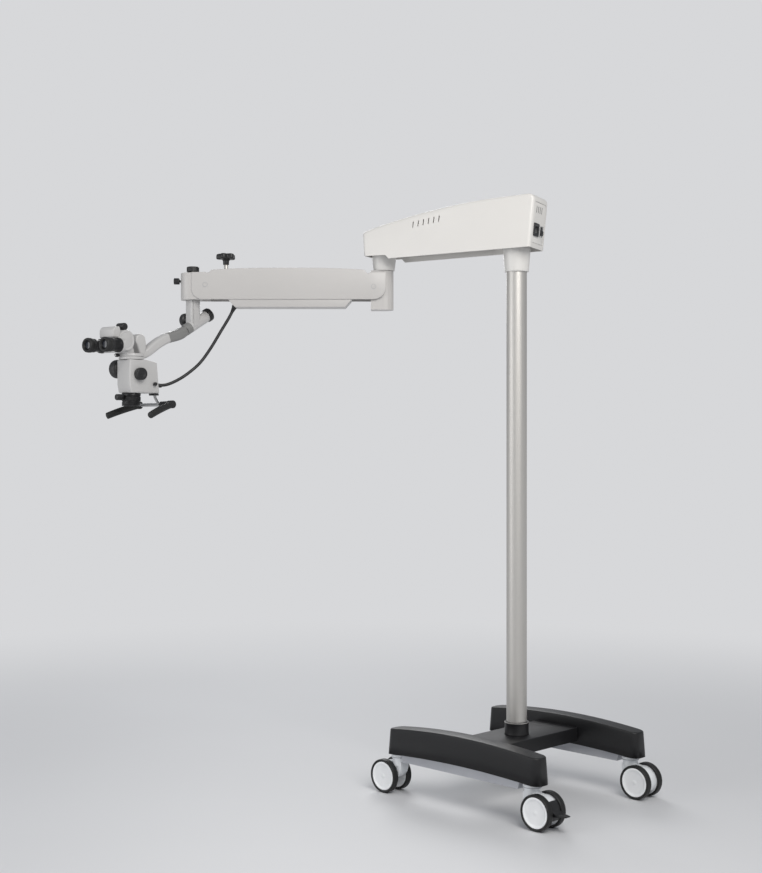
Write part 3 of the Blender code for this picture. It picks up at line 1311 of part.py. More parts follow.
def build_stand():
    stand = pivot("column_foot", (COLUMN_X, COLUMN_Y, 0))
    for word, side in (("near", -1), ("far", 1)):
        leg_cover(f"leg_cover_{word}", stand, side)
        leg_beam(f"leg_beam_{word}", stand, side)
    cross_beam(stand)
    cross_cover(stand)
    foot_collar(stand)
    column(stand)
    column_spindle(stand)
    caster(stand, "rear_near", 1, -1, True)
    caster(stand, "rear_far", 1, 1, False)
    caster(stand, "front_near", -1, -1, False)
    caster(stand, "front_far", -1, 1, True)
    return stand


def build_upper_arm(stand):
    arm = pivot("upper_arm_axis", (0, 0, 0), UPPER_ARM_YAW, stand)
    rear_height = HOUSING_TOP_REAR - HOUSING_CORNER - HOUSING_BOTTOM
    slant = math.atan2(HOUSING_SLANT, rear_height)
    share = (PANEL_MIDDLE_Z - HOUSING_BOTTOM) / rear_height
    rear_x = -HOUSING_REAR + HOUSING_SLANT * (1 - share)
    frame = pivot("rear_panel_frame", (rear_x, 0, PANEL_MIDDLE_Z), 0.0, arm)
    frame.rotation_euler = (0.0, math.radians(-90) - slant, 0.0)
    upper_housing(arm, frame)
    rear_panel(frame)
    power_inlet(frame)
    power_switch(frame)
    upper_casting(arm)
    power_supply(arm)
    return pivot("lower_arm_axis", (UPPER_ARM_LENGTH, 0, 0), LOWER_ARM_YAW - UPPER_ARM_YAW, arm)


def build_lower_arm(arm):
    rear_block(arm)
    lift = pivot("lift_axis", (0, 0, 0), 0.0, arm)
    spring_arm_cover(lift)
    belly_pan(lift)
    light_engine(lift)
    gas_spring(lift)
    lift_tension_knob(pivot("lift_tension_axis", (TENSION_KNOB_X, 0, 0), 0.0, lift))
    lower_link(pivot("lower_link_axis", (REAR_PIN_X, 0, REAR_PIN_Z - LINK_DROP), 0.0, arm))
    front_block(lift)
    post_clamp_screw(pivot("post_clamp_axis", (LOWER_ARM_LENGTH, 0, CLAMP_SCREW_Z), 0.0, lift))
    return pivot("post_axis", (LOWER_ARM_LENGTH, 0, 0), -LOWER_ARM_YAW, arm)


def build_head(post):
    tilt = pivot("tilt_axis", (0, BARREL_FOOT_Y, BARREL_FOOT_Z), 0.0, post, BARREL_TILT - math.radians(90))
    swivel_post(post, tilt)
    post_tension_knob(post)
    tilt_knob(tilt)
    tilt_friction_knob(pivot("tilt_friction_axis", (0, 0, FRICTION_KNOB_Z), 0.0, post))
    swan_arm(post, tilt)
    head = pivot("head_axis", (0, OPTICAL_Y, 0), 0.0, post)
    head_body(head)
    zoom_knob(pivot("zoom_axis", (HEAD_WIDTH / 2, ZOOM_KNOB_Y, ZOOM_KNOB_Z), 0.0, head))
    filter_knob(pivot("filter_axis", (-HEAD_WIDTH / 2, SIDE_KNOB_Y, SIDE_KNOB_Z), 0.0, head))
    objective(head)
    focus_knob(pivot("focus_axis", (0, 0, FOCUS_KNOB_Z), 0.0, head))
    handle_bar(head)
    for word, side in (("near", 1), ("far", -1)):
        hinge = pivot(f"handle_{word}_axis", (0, HANDLE_BAR_Y - OPTICAL_Y, HANDLE_BAR_Z), 0.0, head)
        handle(f"handle_{word}", hinge, side)
    light_lever(pivot("light_lever_axis", (HEAD_WIDTH / 2, -0.173 - OPTICAL_Y, LIGHT_LEVER_Z), 0.0, head))
    return head


def build_binocular(head):
    lock_y = -math.sqrt(RING_RADIUS ** 2 - (LOCK_SIDE - 0.003) ** 2) - GAP
    turn = pivot("binocular_axis", (0, 0, 0), BINOCULAR_YAW, head)
    binocular_mount(turn)
    drum = pivot("binocular_tilt_axis", (0, DRUM_Y, DRUM_Z), 0.0, turn)
    prism_housing(drum)
    for word, side in (("near", 1), ("far", -1)):
        spot = (side * EYE_SPACING / 2, EYE_BASE_Y - DRUM_Y, EYE_Z - DRUM_Z)
        ocular(f"ocular_{word}", pivot(f"ocular_{word}_axis", spot, 0.0, drum))
    spacing_knob(pivot("spacing_axis", (0.004, 0.006, DRUM_RADIUS + 0.0109), 0.0, drum))
    binocular_lock_screw(pivot("lock_axis", (-LOCK_SIDE, lock_y, NECK_TOP + 0.0032), 0.0, turn))


def build_model():
    clear_scene()
    stand = build_stand()
    lower = build_upper_arm(stand)
    post = build_lower_arm(lower)
    head = build_head(post)
    build_binocular(head)
    light_guide(stand)


build_model()
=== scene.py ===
"""Surgical microscope on a wheeled floor stand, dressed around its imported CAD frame."""
import math

import bmesh
import bpy
from mathutils import Matrix, Vector


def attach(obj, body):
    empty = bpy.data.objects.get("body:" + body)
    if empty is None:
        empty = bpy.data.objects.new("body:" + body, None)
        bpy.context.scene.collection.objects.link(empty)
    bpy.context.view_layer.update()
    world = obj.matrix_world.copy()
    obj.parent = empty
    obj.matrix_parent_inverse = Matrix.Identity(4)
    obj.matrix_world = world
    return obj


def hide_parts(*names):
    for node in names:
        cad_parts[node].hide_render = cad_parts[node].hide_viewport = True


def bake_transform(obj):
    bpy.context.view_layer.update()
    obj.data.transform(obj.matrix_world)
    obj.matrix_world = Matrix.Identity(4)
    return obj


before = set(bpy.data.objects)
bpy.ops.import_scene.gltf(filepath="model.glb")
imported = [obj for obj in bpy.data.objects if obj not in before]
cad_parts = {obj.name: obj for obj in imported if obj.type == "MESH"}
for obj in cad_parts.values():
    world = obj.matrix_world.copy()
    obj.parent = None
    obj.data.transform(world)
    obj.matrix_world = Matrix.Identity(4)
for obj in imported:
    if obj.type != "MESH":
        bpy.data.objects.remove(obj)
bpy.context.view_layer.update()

# Camera: about a metre up, in front of the base's near rear corner. It looks level
# across the stand with a long lens.

PHOTO_LENS = 56.83
CAMERA_SPOT = (2.9288, -2.8682, 1.071)
CAMERA_YAW = 45

lens = bpy.data.cameras.new("photo_camera")
lens.lens = PHOTO_LENS
lens.sensor_width = 36.0
lens.clip_end = 60.0
camera = bpy.data.objects.new("photo_camera", lens)
camera.location = CAMERA_SPOT
camera.rotation_euler = (math.radians(90), 0, math.radians(CAMERA_YAW))
bpy.context.scene.collection.objects.link(camera)
bpy.context.scene.camera = camera

# Light guide: a black flexible hose with a fibre bundle inside, from the pan under the
# lower arm down to the back of the head. It is drawn as one hose in three lengths, split
# at three joints: the levelling block, the post's swivel and the head's tilt.

COLUMN = Vector((0.2991, 0.3357, 0.0))
GUIDE_WIDTH = 0.0096
GUIDE_POINTS = [
    (-0.7553, -0.4700, 1.4768), (-0.7613, -0.4871, 1.4424), (-0.7698, -0.5110, 1.4014),
    (-0.7808, -0.5425, 1.3474), (-0.7917, -0.5739, 1.3023), (-0.8024, -0.6051, 1.2725),
    (-0.8140, -0.6392, 1.2480), (-0.8254, -0.6731, 1.2316), (-0.8336, -0.6979, 1.2275),
    (-0.8395, -0.7120, 1.2280),
]


def smooth_line(points, per_span):
    """Points read from a smooth curve through the chosen ones."""
    ends = [points[0]] + points + [points[-1]]
    line = []
    for a, b, c, d in zip(ends, ends[1:], ends[2:], ends[3:]):
        for i in range(per_span):
            t = i / per_span
            bend = (2 * a - 5 * b + 4 * c - d) * t ** 2 + (3 * b - a - 3 * c + d) * t ** 3
            line.append(0.5 * (2 * b + (c - a) * t + bend))
    line.append(points[-1])
    return line


def skin(rings, closed_ends=True):
    """Faces over rings with equal numbers of points."""
    bm = bmesh.new()
    loops = [[bm.verts.new(point) for point in ring] for ring in rings]
    for low, high in zip(loops, loops[1:]):
        for i in range(len(low)):
            j = (i + 1) % len(low)
            bm.faces.new((low[i], low[j], high[j], high[i]))
    if closed_ends:
        bm.faces.new(loops[0])
        bm.faces.new(loops[-1])
    return bm


def hose_rings(line, radius, around=16):
    """Circles square to a line."""
    rings = []
    side = Vector((0, 0, 1)).cross(line[1] - line[0]).normalized()
    for i, middle in enumerate(line):
        along = (line[min(i + 1, len(line) - 1)] - line[max(i - 1, 0)]).normalized()
        side = (side - along * side.dot(along)).normalized()
        up = along.cross(side)
        turns = [math.tau * k / around for k in range(around)]
        rings.append([middle + (side * math.cos(t) + up * math.sin(t)) * radius for t in turns])
    return rings


def finish(name, colour, roughness, metallic=0.0, **sockets):
    """A Principled finish and its shader, ready for its own texture nodes."""
    made = bpy.data.materials.new(name)
    made.use_nodes = True
    shader = made.node_tree.nodes["Principled BSDF"]
    shader.inputs["Base Color"].default_value = (*colour, 1)
    shader.inputs["Roughness"].default_value = roughness
    shader.inputs["Metallic"].default_value = metallic
    for socket, value in sockets.items():
        shader.inputs[socket.replace("_", " ")].default_value = value
    return made, shader


def row_noise(made, scale, detail, stretch):
    """Noise in the row frame, stretched along an axis where asked."""
    nodes, links = made.node_tree.nodes, made.node_tree.links
    place = nodes.new("ShaderNodeTexCoord")
    mapping = nodes.new("ShaderNodeMapping")
    mapping.inputs["Scale"].default_value = stretch
    noise = nodes.new("ShaderNodeTexNoise")
    noise.inputs["Scale"].default_value = scale
    noise.inputs["Detail"].default_value = detail
    links.new(place.outputs["Object"], mapping.inputs["Vector"])
    links.new(mapping.outputs["Vector"], noise.inputs["Vector"])
    return nodes, links, noise


def grain(made, shader, scale, bump, depth, stretch=(1, 1, 1)):
    """Fine relief over the surface."""
    nodes, links, noise = row_noise(made, scale, 4.0, stretch)
    relief = nodes.new("ShaderNodeBump")
    relief.inputs["Strength"].default_value = bump
    relief.inputs["Distance"].default_value = depth
    links.new(noise.outputs["Fac"], relief.inputs["Height"])
    links.new(relief.outputs["Normal"], shader.inputs["Normal"])


def vary(made, shader, socket, scale, low, high, stretch=(1, 1, 1)):
    """Slow change of a colour or a roughness over the surface, between two values."""
    nodes, links, noise = row_noise(made, scale, 3.0, stretch)
    ramp = nodes.new("ShaderNodeValToRGB")
    ramp.color_ramp.elements[0].position = 0.3
    ramp.color_ramp.elements[1].position = 0.7
    for stop, value in zip(ramp.color_ramp.elements, (low, high)):
        stop.color = (*value, 1) if isinstance(value, tuple) else (value, value, value, 1)
    links.new(noise.outputs["Fac"], ramp.inputs["Fac"])
    links.new(ramp.outputs["Color"], shader.inputs[socket])


def rubber_look(name, colour, rough):
    """Soft black rubber or hose skin with a faint bloom."""
    made, shader = finish(name, colour, rough)
    grain(made, shader, 900, 0.25, 0.0004)
    vary(made, shader, "Roughness", 30, rough - 0.08, rough + 0.08)
    return made


hose_black = rubber_look("hose_black", (0.009, 0.009, 0.010), 0.48)


def shade(mesh, angle):
    """Smooth shading, with edges above an angle left sharp."""
    mesh.shade_smooth()
    mesh.set_sharp_from_angle(angle=math.radians(angle))


def new_object(name, bm, looks, angle=35):
    """Smooth-shaded object in the row frame from a bmesh, with its finishes."""
    bmesh.ops.recalc_face_normals(bm, faces=bm.faces)
    if bm.calc_volume(signed=True) < 0:
        bmesh.ops.reverse_faces(bm, faces=bm.faces)
    mesh = bpy.data.meshes.new(name)
    bm.to_mesh(mesh)
    bm.free()
    for look in looks if isinstance(looks, (list, tuple)) else [looks]:
        mesh.materials.append(look)
    shade(mesh, angle)
    made = bpy.data.objects.new(name, mesh)
    bpy.context.scene.collection.objects.link(made)
    return made


guide_line = smooth_line([COLUMN + Vector(p) for p in GUIDE_POINTS], 6)
guide_parts = (
    ("light_guide_upper", 0, 14, "spring_arm", "front_block"),
    ("light_guide_middle", 14, 28, "front_block", "post"),
    ("light_guide_lower", 28, 54, "post", "head"),
)
for name, first, last, carrier, follower in guide_parts:
    stretch = guide_line[first:last + 1]
    hose = new_object(name, skin(hose_rings(stretch, GUIDE_WIDTH / 2)), hose_black, 60)
    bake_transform(hose)
    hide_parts("light_guide")

# Hose ends: a black moulded grommet where the hose leaves the pan, and a black ferrule
# pushed into the socket at the back of the head.

black_moulding, shader = finish("black_moulding", (0.011, 0.011, 0.012), 0.40)
grain(black_moulding, shader, 1400, 0.2, 0.0003)
vary(black_moulding, shader, "Roughness", 22, 0.36, 0.5)


def lathe(profile, steps=48, closed=False):
    """Profile of (radius, height) points turned about Z."""
    bm = bmesh.new()
    points = [bm.verts.new((r, 0, z)) for r, z in profile]
    edges = [bm.edges.new(pair) for pair in zip(points, points[1:])]
    if closed:
        edges.append(bm.edges.new((points[-1], points[0])))
    bmesh.ops.spin(bm, geom=points + edges, cent=(0, 0, 0), axis=(0, 0, 1), angle=math.tau, steps=steps,
                   use_duplicate=False)
    bmesh.ops.remove_doubles(bm, verts=bm.verts, dist=1e-6)
    bmesh.ops.dissolve_degenerate(bm, edges=bm.edges, dist=1e-6)
    return bm


def aimed(point, direction):
    """Placement with Z along a direction."""
    turn = Vector(direction).to_track_quat("Z", "Y").to_matrix().to_4x4()
    return Matrix.Translation(point) @ turn


def hang(made, body, node=None):
    """Hang a piece on its body and hide the CAD part that it stands in for."""
    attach(made, body)
    if node:
        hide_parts(node)


def fit(name, bm, place, look, body, node=None, angle=35):
    """Put a mesh in its place in the row frame and hang it on its body."""
    bm.transform(place)
    made = new_object(name, bm, look, angle)
    hang(made, body, node)
    return made


top_way = guide_line[1] - guide_line[0]
low_way = guide_line[-1] - guide_line[-2]
grommet = [(0, -0.004), (0.0085, -0.004), (0.0085, 0.0), (0.0075, 0.002), (0.0062, 0.010), (0.0052, 0.016),
           (0, 0.016)]
fit("light_guide_grommet", lathe(grommet, 32), aimed(guide_line[0], top_way), black_moulding, "spring_arm")
ferrule = [(0, -0.020), (0.0060, -0.020), (0.0064, -0.018), (0.0064, -0.006), (0.0070, -0.005),
           (0.0070, 0.001), (0, 0.001)]
fit("light_guide_ferrule", lathe(ferrule, 32), aimed(guide_line[-1], low_way), black_moulding, "head")

# Leg covers: long matt black mouldings with an arched top and hem. The sides lean in,
# and a soft edge runs round the top.

LEG_MIDDLE_X = -0.007
LEG_SPREAD = 0.233
LEG_LENGTH = 0.578
LEG_COVER_X = -0.001
COVER_TOP = 0.211
COVER_TOP_END = 0.193
COVER_HEM = 0.130
COVER_HEM_END = 0.118

matt_black, shader = finish("matt_black_cover", (0.009, 0.009, 0.010), 0.40, Specular_IOR_Level=0.42)
grain(matt_black, shader, 1600, 0.22, 0.0003)
vary(matt_black, shader, "Roughness", 9, 0.38, 0.46)


def corner(x, y, radius, start, end, steps):
    """Points along an arc, in degrees."""
    turns = [math.radians(start + (end - start) * i / steps) for i in range(steps + 1)]
    return [(x + radius * math.cos(a), y + radius * math.sin(a)) for a in turns]


def leg_rings():
    """Outline rings of a leg cover, from its hem up and over its top edge."""
    edge = 0.0045
    share_of_edge = edge / 0.08
    levels = [(0.0, 0.033, 0.024, 0.0), (0.004, 0.0278, 0.0215, 1 - share_of_edge)]
    for i in range(1, 7):
        a = math.radians(15 * i)
        fall = edge * (1 - math.cos(a))
        levels.append((0.004 + fall, 0.0278 - fall, 0.0215 - 0.7 * fall,
                       1 - share_of_edge * (1 - math.sin(a))))
    rings = []
    for shorten, wide, radius, share in levels:
        reach = LEG_LENGTH / 2 - shorten
        straight = reach - radius
        side = corner(straight, wide - radius, radius, 0, 90, 8)
        side += [(straight * (1 - i / 12), wide) for i in range(1, 24)]
        side += corner(-straight, wide - radius, radius, 90, 180, 8)
        ring = []
        for x, y in side + [(x, -y) for x, y in reversed(side)]:
            drop = (x / (LEG_LENGTH / 2)) ** 2
            low = COVER_HEM - (COVER_HEM - COVER_HEM_END) * drop
            high = COVER_TOP - (COVER_TOP - COVER_TOP_END) * drop
            ring.append((x, y, low + (high - low) * share))
        rings.append(ring)
    return rings


def leg_skin():
    """Leg cover's outer skin, closed on top with strips across."""
    rings = leg_rings()
    bm = skin(rings, closed_ends=False)
    bm.verts.ensure_lookup_table()
    top = bm.verts[-len(rings[-1]):]
    count = len(top)
    for i in range(count // 2 - 1):
        bm.faces.new((top[i], top[i + 1], top[count - 2 - i], top[count - 1 - i]))
    return bm


def baked(made):
    """Turn an object's modifiers into its own mesh."""
    graph = bpy.context.evaluated_depsgraph_get()
    mesh = bpy.data.meshes.new_from_object(made.evaluated_get(graph))
    made.modifiers.clear()
    old, made.data = made.data, mesh
    bpy.data.meshes.remove(old)
    return made


def walled(made, thickness):
    """Give an open skin its wall, inwards."""
    wall = made.modifiers.new("wall", "SOLIDIFY")
    wall.thickness = thickness
    wall.offset = -1.0
    wall.use_even_offset = True
    return baked(made)


for word, side in (("near", -1), ("far", 1)):
    skin_mesh = leg_skin()
    skin_mesh.transform(Matrix.Translation(COLUMN + Vector((LEG_COVER_X, side * LEG_SPREAD, 0))))
    cover = walled(new_object(f"leg_moulding_{word}", skin_mesh, matt_black, 50), 0.003)
    hang(cover, "stand", f"leg_cover_{word}")

# Leg rails and cross beam: welded steel, sprayed silver grey. Only the rails show, as a
# band under the covers.

rail_silver, shader = finish("rail_silver", (0.42, 0.43, 0.46), 0.38, 0.45)
grain(rail_silver, shader, 700, 0.12, 0.0003)
vary(rail_silver, shader, "Base Color", 14, (0.40, 0.41, 0.44), (0.46, 0.47, 0.50))


def dress(node, look):
    """Give a carried-over CAD solid its finish and smooth shading."""
    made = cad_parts[node]
    made.data.materials.clear()
    made.data.materials.append(look)
    shade(made.data, 35)


for node in ("leg_beam_near", "leg_beam_far", "cross_beam"):
    dress(node, rail_silver)

# Cross cover: the matt black moulding between the legs, over the beam that carries the
# column, with sharp long edges and ends that fit the leaning sides of the leg covers.

CROSS_HALF = 0.080
CROSS_LEVELS = ((0.140, 0.0, 0.2012), (0.1765, 0.0006, 0.2028), (0.1798, 0.0014, 0.2031),
                (0.181, 0.0042, 0.2032))

STAND = Matrix.Translation(COLUMN)

rings = []
for z, inset, reach in CROSS_LEVELS:
    wide = CROSS_HALF - inset
    around = ((wide, reach), (-wide, reach), (-wide, -reach), (wide, -reach))
    rings.append([(LEG_MIDDLE_X + x, y, z) for x, y in around])
fit("cross_moulding", skin(rings), STAND, matt_black, "stand", "cross_cover")

# Foot collar and column: a black moulded ring with a thin bright lip hides the foot of
# a satin anodised tube, whose drawn grain runs upwards.

COLUMN_RADIUS = 0.0305

satin_tube, shader = finish("satin_tube", (0.56, 0.545, 0.52), 0.42, 0.80)
grain(satin_tube, shader, 500, 0.10, 0.0002, (1, 1, 0.02))
vary(satin_tube, shader, "Roughness", 260, 0.42, 0.52, (1, 1, 0.01))

collar = [(0.0308, 0.1813), (0.0366, 0.1813), (0.0369, 0.1825), (0.0367, 0.1842), (0.0361, 0.1870),
          (0.0359, 0.200), (0.0358, 0.2165), (0.0362, 0.2172), (0.0362, 0.2192), (0.0352, 0.2199),
          (0.0308, 0.2199)]
fit("collar_moulding", lathe(collar, 64, True), STAND, black_moulding, "stand",
    "foot_collar")
lip = [(0.03655, 0.2166), (0.03665, 0.2171), (0.03665, 0.2187), (0.0362, 0.2191), (0.0358, 0.2187),
       (0.0358, 0.2166)]
fit("collar_bright_lip", lathe(lip, 64, True), STAND, satin_tube, "stand")
tube = [(0.0271, 0.179), (COLUMN_RADIUS, 0.179), (COLUMN_RADIUS, 1.6249), (0.0271, 1.6249)]
fit("column_satin_tube", lathe(tube, 96, True), STAND, satin_tube, "stand", "column_tube")
dress("column_spindle", satin_tube)

# Casters: twin wheels with black treads and dished white discs, a white hood between
# them and a round stem housing above. Two of them have a black foot brake.

WHEEL_RADIUS = 0.050
CASTER_TRAIL = 0.038
CASTER_REACH = 0.253
SIDEWAYS = Matrix.Rotation(math.radians(90), 4, "X")

disc_white, shader = finish("disc_white", (0.84, 0.85, 0.86), 0.3)
grain(disc_white, shader, 300, 0.05, 0.0003)
vary(disc_white, shader, "Base Color", 40, (0.82, 0.83, 0.84), (0.86, 0.87, 0.88))
# The wheel's rim ring is moulded in the disc's white; its brighter white is a painted highlight.
rim_painted_highlight, shader = finish("rim_painted_highlight", (0.92, 0.93, 0.94), 0.22)
grain(rim_painted_highlight, shader, 300, 0.04, 0.0003)
vary(rim_painted_highlight, shader, "Roughness", 60, 0.20, 0.30)
hood_white, shader = finish("hood_white", (0.77, 0.79, 0.81), 0.34)
grain(hood_white, shader, 400, 0.06, 0.0003)
vary(hood_white, shader, "Base Color", 35, (0.74, 0.76, 0.78), (0.80, 0.82, 0.84))
tread_black = rubber_look("tread_black", (0.008, 0.008, 0.008), 0.50)


def paint_rings(made, bands):
    """Give faces another finish where their radius from the axle lies in a band."""
    for face in made.data.polygons:
        reach = face.center.xz.length
        for low, high, left, right, look in bands:
            if low <= reach <= high and left <= face.center.y <= right:
                face.material_index = look


def moved(bm, place):
    """The same mesh, put somewhere else."""
    bm.transform(place)
    return bm


def extruded(outline, low, high, place=Matrix()):
    """Solid with an XY outline between two heights, put in its place."""
    ends = [[(x, y, z) for x, y in outline] for z in (low, high)]
    return moved(skin(ends), place)


def softened(made, width, segments, angle=35):
    """Round an object's sharp edges for good."""
    edge = made.modifiers.new("edge", "BEVEL")
    edge.width = width
    edge.segments = segments
    edge.limit_method = "ANGLE"
    edge.angle_limit = math.radians(angle)
    edge.harden_normals = False
    baked(made)
    shade(made.data, 40)


def wheel_mesh(outward):
    """Wheel about Y: dished disc, rim ring painted brighter as a highlight, tread with stepped shoulders.
    """
    profile = [(0, 0.0350), (0.0040, 0.0350), (0.0052, 0.0344), (0.010, 0.0343), (0.022, 0.0347),
               (0.0300, 0.0353), (0.0350, 0.0358), (0.0358, 0.0364), (0.0370, 0.0371), (0.0390, 0.0375),
               (0.0408, 0.0374), (0.0420, 0.0368), (0.0424, 0.0360), (0.0436, 0.0360), (0.0446, 0.0382),
               (0.0474, 0.0388), (0.0490, 0.0379), (0.0498, 0.0362), (0.0500, 0.0345), (0.0500, 0.0290),
               (0.0494, 0.0286), (0.0494, 0.0276), (0.0500, 0.0272), (0.0500, 0.0215), (0.0497, 0.0200),
               (0.0488, 0.0190), (0.0470, 0.0184), (0.0440, 0.0184), (0.0425, 0.0200), (0.030, 0.0200),
               (0.0063, 0.0186), (0.0063, 0.0200)]
    bm = lathe(profile + [(0, 0.0200)], 72)
    bm.transform(Matrix.Rotation(math.radians(-90 * outward), 4, "X"))
    return bm


def caster_place(x_side, y_side):
    """Row-frame placement of a caster, with X the way it trails."""
    spot = COLUMN + Vector((LEG_MIDDLE_X + x_side * CASTER_REACH, y_side * LEG_SPREAD, 0))
    return Matrix.Translation(spot) @ Matrix.Rotation(0 if x_side > 0 else math.pi, 4, "Z")


hood_outline = [(-0.0205, 0.0955), (-0.0205, 0.080), (-0.016, 0.066), (-0.006, 0.052), (0.022, 0.0395)]
hood_outline += corner(CASTER_TRAIL, WHEEL_RADIUS, 0.0150, 225, 300, 4)
hood_outline += corner(CASTER_TRAIL, WHEEL_RADIUS, 0.0428, -32, 92, 22)
hood_outline += [(0.022, 0.0945), (0.0205, 0.0975)]
stem = [(0, 0.1178), (0.0252, 0.1178), (0.0256, 0.1173), (0.0256, 0.1075), (0.0252, 0.1070),
        (0.0226, 0.1066), (0.0222, 0.1062), (0.0216, 0.0935), (0.0206, 0.084), (0, 0.084)]
stem_ring = [(0.0252, 0.1086), (0.0261, 0.1089), (0.0261, 0.1112), (0.0252, 0.1115)]

corners = (("rear_near", 1, -1, True), ("rear_far", 1, 1, False), ("front_near", -1, -1, False),
           ("front_far", -1, 1, True))
for word, x_side, y_side, braked in corners:
    place = caster_place(x_side, y_side)
    carrier = f"{word}_caster"
    hood = fit(f"{word}_hood", extruded(hood_outline, -0.0163, 0.0163), place @ SIDEWAYS, hood_white,
               carrier, f"{word}_caster_fork")
    softened(hood, 0.0016, 2)
    fit(f"{word}_stem_housing", lathe(stem, 48), place, hood_white, carrier)
    fit(f"{word}_stem_ring", lathe(stem_ring, 48, True), place, rail_silver, carrier)
    axle = Matrix.Translation(place @ Vector((CASTER_TRAIL, 0, WHEEL_RADIUS)))
    axle = axle @ place.to_3x3().to_4x4()
    for hand, outward in (("left", -1), ("right", 1)):
        bm = wheel_mesh(outward)
        made = new_object(f"{word}_{hand}_wheel_dressed", bm, [tread_black, disc_white, rim_painted_highlight], 40)
        sides = (0.0335, 0.04) if outward > 0 else (-0.04, -0.0335)
        bands = [(0, 0.0354, *sides, 1), (0.0354, 0.0428, *sides, 2), (0.0, 0.0425, -0.0205, 0.0205, 1)]
        paint_rings(made, bands)
        made.data.transform(axle)
        wheel = f"{word}_wheel_{hand}"
        hang(made, wheel, wheel)
    if braked:
        tab = corner(0, 0, 0.0433, 46, -24, 14) + corner(0, 0, 0.0472, -24, -9, 4)
        tab += [(0.0560, -0.0052), (0.0700, -0.0038), (0.0840, -0.0028), (0.0874, -0.0014),
                (0.0876, 0.0002)]
        tab += [(0.0840, 0.0012), (0.0700, 0.0014), (0.0560, 0.0022), (0.0485, 0.0060)]
        tab += corner(0, 0, 0.0472, 11, 46, 8)
        pressed = extruded(tab, -0.0160, 0.0160)
        for vert in pressed.verts:
            vert.co.z *= 1 - max(0.0, vert.co.x - 0.056) * 16
        pedal = f"{word}_brake_pedal"
        band = fit(f"{word}_brake_band", pressed, axle @ SIDEWAYS, black_moulding, pedal,
                   pedal)
        softened(band, 0.0009, 2)

# Upper arm housing: one long white moulding over the turning arm, with a falling top
# line, six vents in each side and an opening for the connection panel at the back.

UPPER = STAND @ Matrix.Rotation(math.radians(198), 4, "Z")
HOUSING_HALF = 0.061
REAR_FOOT = 1.629
REAR_HEIGHT = 0.137
REAR_LEAN = 0.014
REAR_SLANT = math.atan2(REAR_LEAN, REAR_HEIGHT)
PANEL_SPOT = (0.0046, 0)
PANEL_Z = 1.698
PANEL_X = -0.078 + REAR_LEAN * (1 - (PANEL_Z - REAR_FOOT) / REAR_HEIGHT)
REAR = UPPER @ Matrix.Translation((PANEL_X, 0, PANEL_Z))
REAR = REAR @ Matrix.Rotation(math.radians(-90) - REAR_SLANT, 4, "Y")


def lacquer(name, colour, rough, speckle):
    """White sprayed finish: slight orange peel and a faint change of tone."""
    made, shader = finish(name, colour, rough, Coat_Weight=0.15, Coat_Roughness=0.2)
    grain(made, shader, speckle, 0.10, 0.0004)
    darker = tuple(c * 0.965 for c in colour)
    vary(made, shader, "Base Color", 5, darker, colour)
    return made


housing_white = lacquer("housing_white", (0.67, 0.655, 0.63), 0.34, 420)


def cut_away(made, cutters):
    """Take cutter shapes away from a piece for good."""
    for bm in cutters:
        tool = new_object("cutter", bm, black_moulding)
        cut = made.modifiers.new("cut", "BOOLEAN")
        cut.operation = "DIFFERENCE"
        cut.solver = "EXACT"
        cut.object = tool
        baked(made)
        bpy.data.objects.remove(tool, do_unlink=True)


def plate_outline(width, height, radius, steps, x=0.0, y=0.0):
    """Rectangle with round corners, anticlockwise."""
    points = []
    for quarter, (sx, sy) in enumerate(((1, 1), (-1, 1), (-1, -1), (1, -1))):
        points += corner(x + sx * (width / 2 - radius), y + sy * (height / 2 - radius), radius,
                         90 * quarter, 90 * quarter + 90, steps)
    return points


def rear_plate(width, height, radius, steps, spot, low, high):
    """Plate with round corners about a spot of the housing's back, between two depths."""
    return extruded(plate_outline(width, height, radius, steps, *spot), low, high, REAR)


outline = [(-0.064, REAR_FOOT)] + corner(-0.058, 1.766, 0.020, 174, 94, 10)
outline += [(0.029, 1.782), (0.061, 1.7803), (0.093, 1.778), (0.126, 1.7753), (0.158, 1.772),
            (0.191, 1.7678), (0.224, 1.763), (0.258, 1.7582), (0.291, 1.753), (0.325, 1.7468),
            (0.359, 1.740), (0.394, 1.7328), (0.428, 1.725), (0.463, 1.716), (0.4922, 1.7065),
            (0.487, 1.633), (0.410, 1.632), (0.400, 1.621)]
bm = extruded(outline, -HOUSING_HALF, HOUSING_HALF)
bm.transform(SIDEWAYS)
bm.normal_update()
under = [f for f in bm.faces if f.calc_center_median().z < 1.633 and abs(f.normal.z) > 0.3]
bmesh.ops.delete(bm, geom=under, context="FACES_ONLY")
bmesh.ops.delete(bm, geom=[e for e in bm.edges if not e.link_faces], context="EDGES")
bm.transform(UPPER)
housing = new_object("housing_shell", bm, housing_white, 50)
softened(housing, 0.0105, 6, 60)
walled(housing, 0.004)
vents = []
for i in range(6):
    for side in (-1, 1):
        slot_shape = extruded(plate_outline(0.0036, 0.019, 0.0017, 4), -0.01, 0.01, SIDEWAYS)
        slot_shape.transform(Matrix.Rotation(math.radians(-8), 4, "Y"))
        spot = (0.228 + 0.0174 * i, side * HOUSING_HALF, 1.731 - 0.0024 * i)
        vents.append(moved(slot_shape, UPPER @ Matrix.Translation(spot)))
vents.append(rear_plate(0.1212, 0.0952, 0.010, 6, PANEL_SPOT, -0.012, 0.012))
cut_away(housing, vents)
shade(housing.data, 40)
hang(housing, "upper_arm", "upper_housing")

# Connection panel: a flush plate in the housing's back with four vents, the appliance
# inlet on the near side and a rocker switch beside it.

INLET_SPOT = (-0.016, 0.021)
SWITCH_SPOT = (-0.016, -0.020)

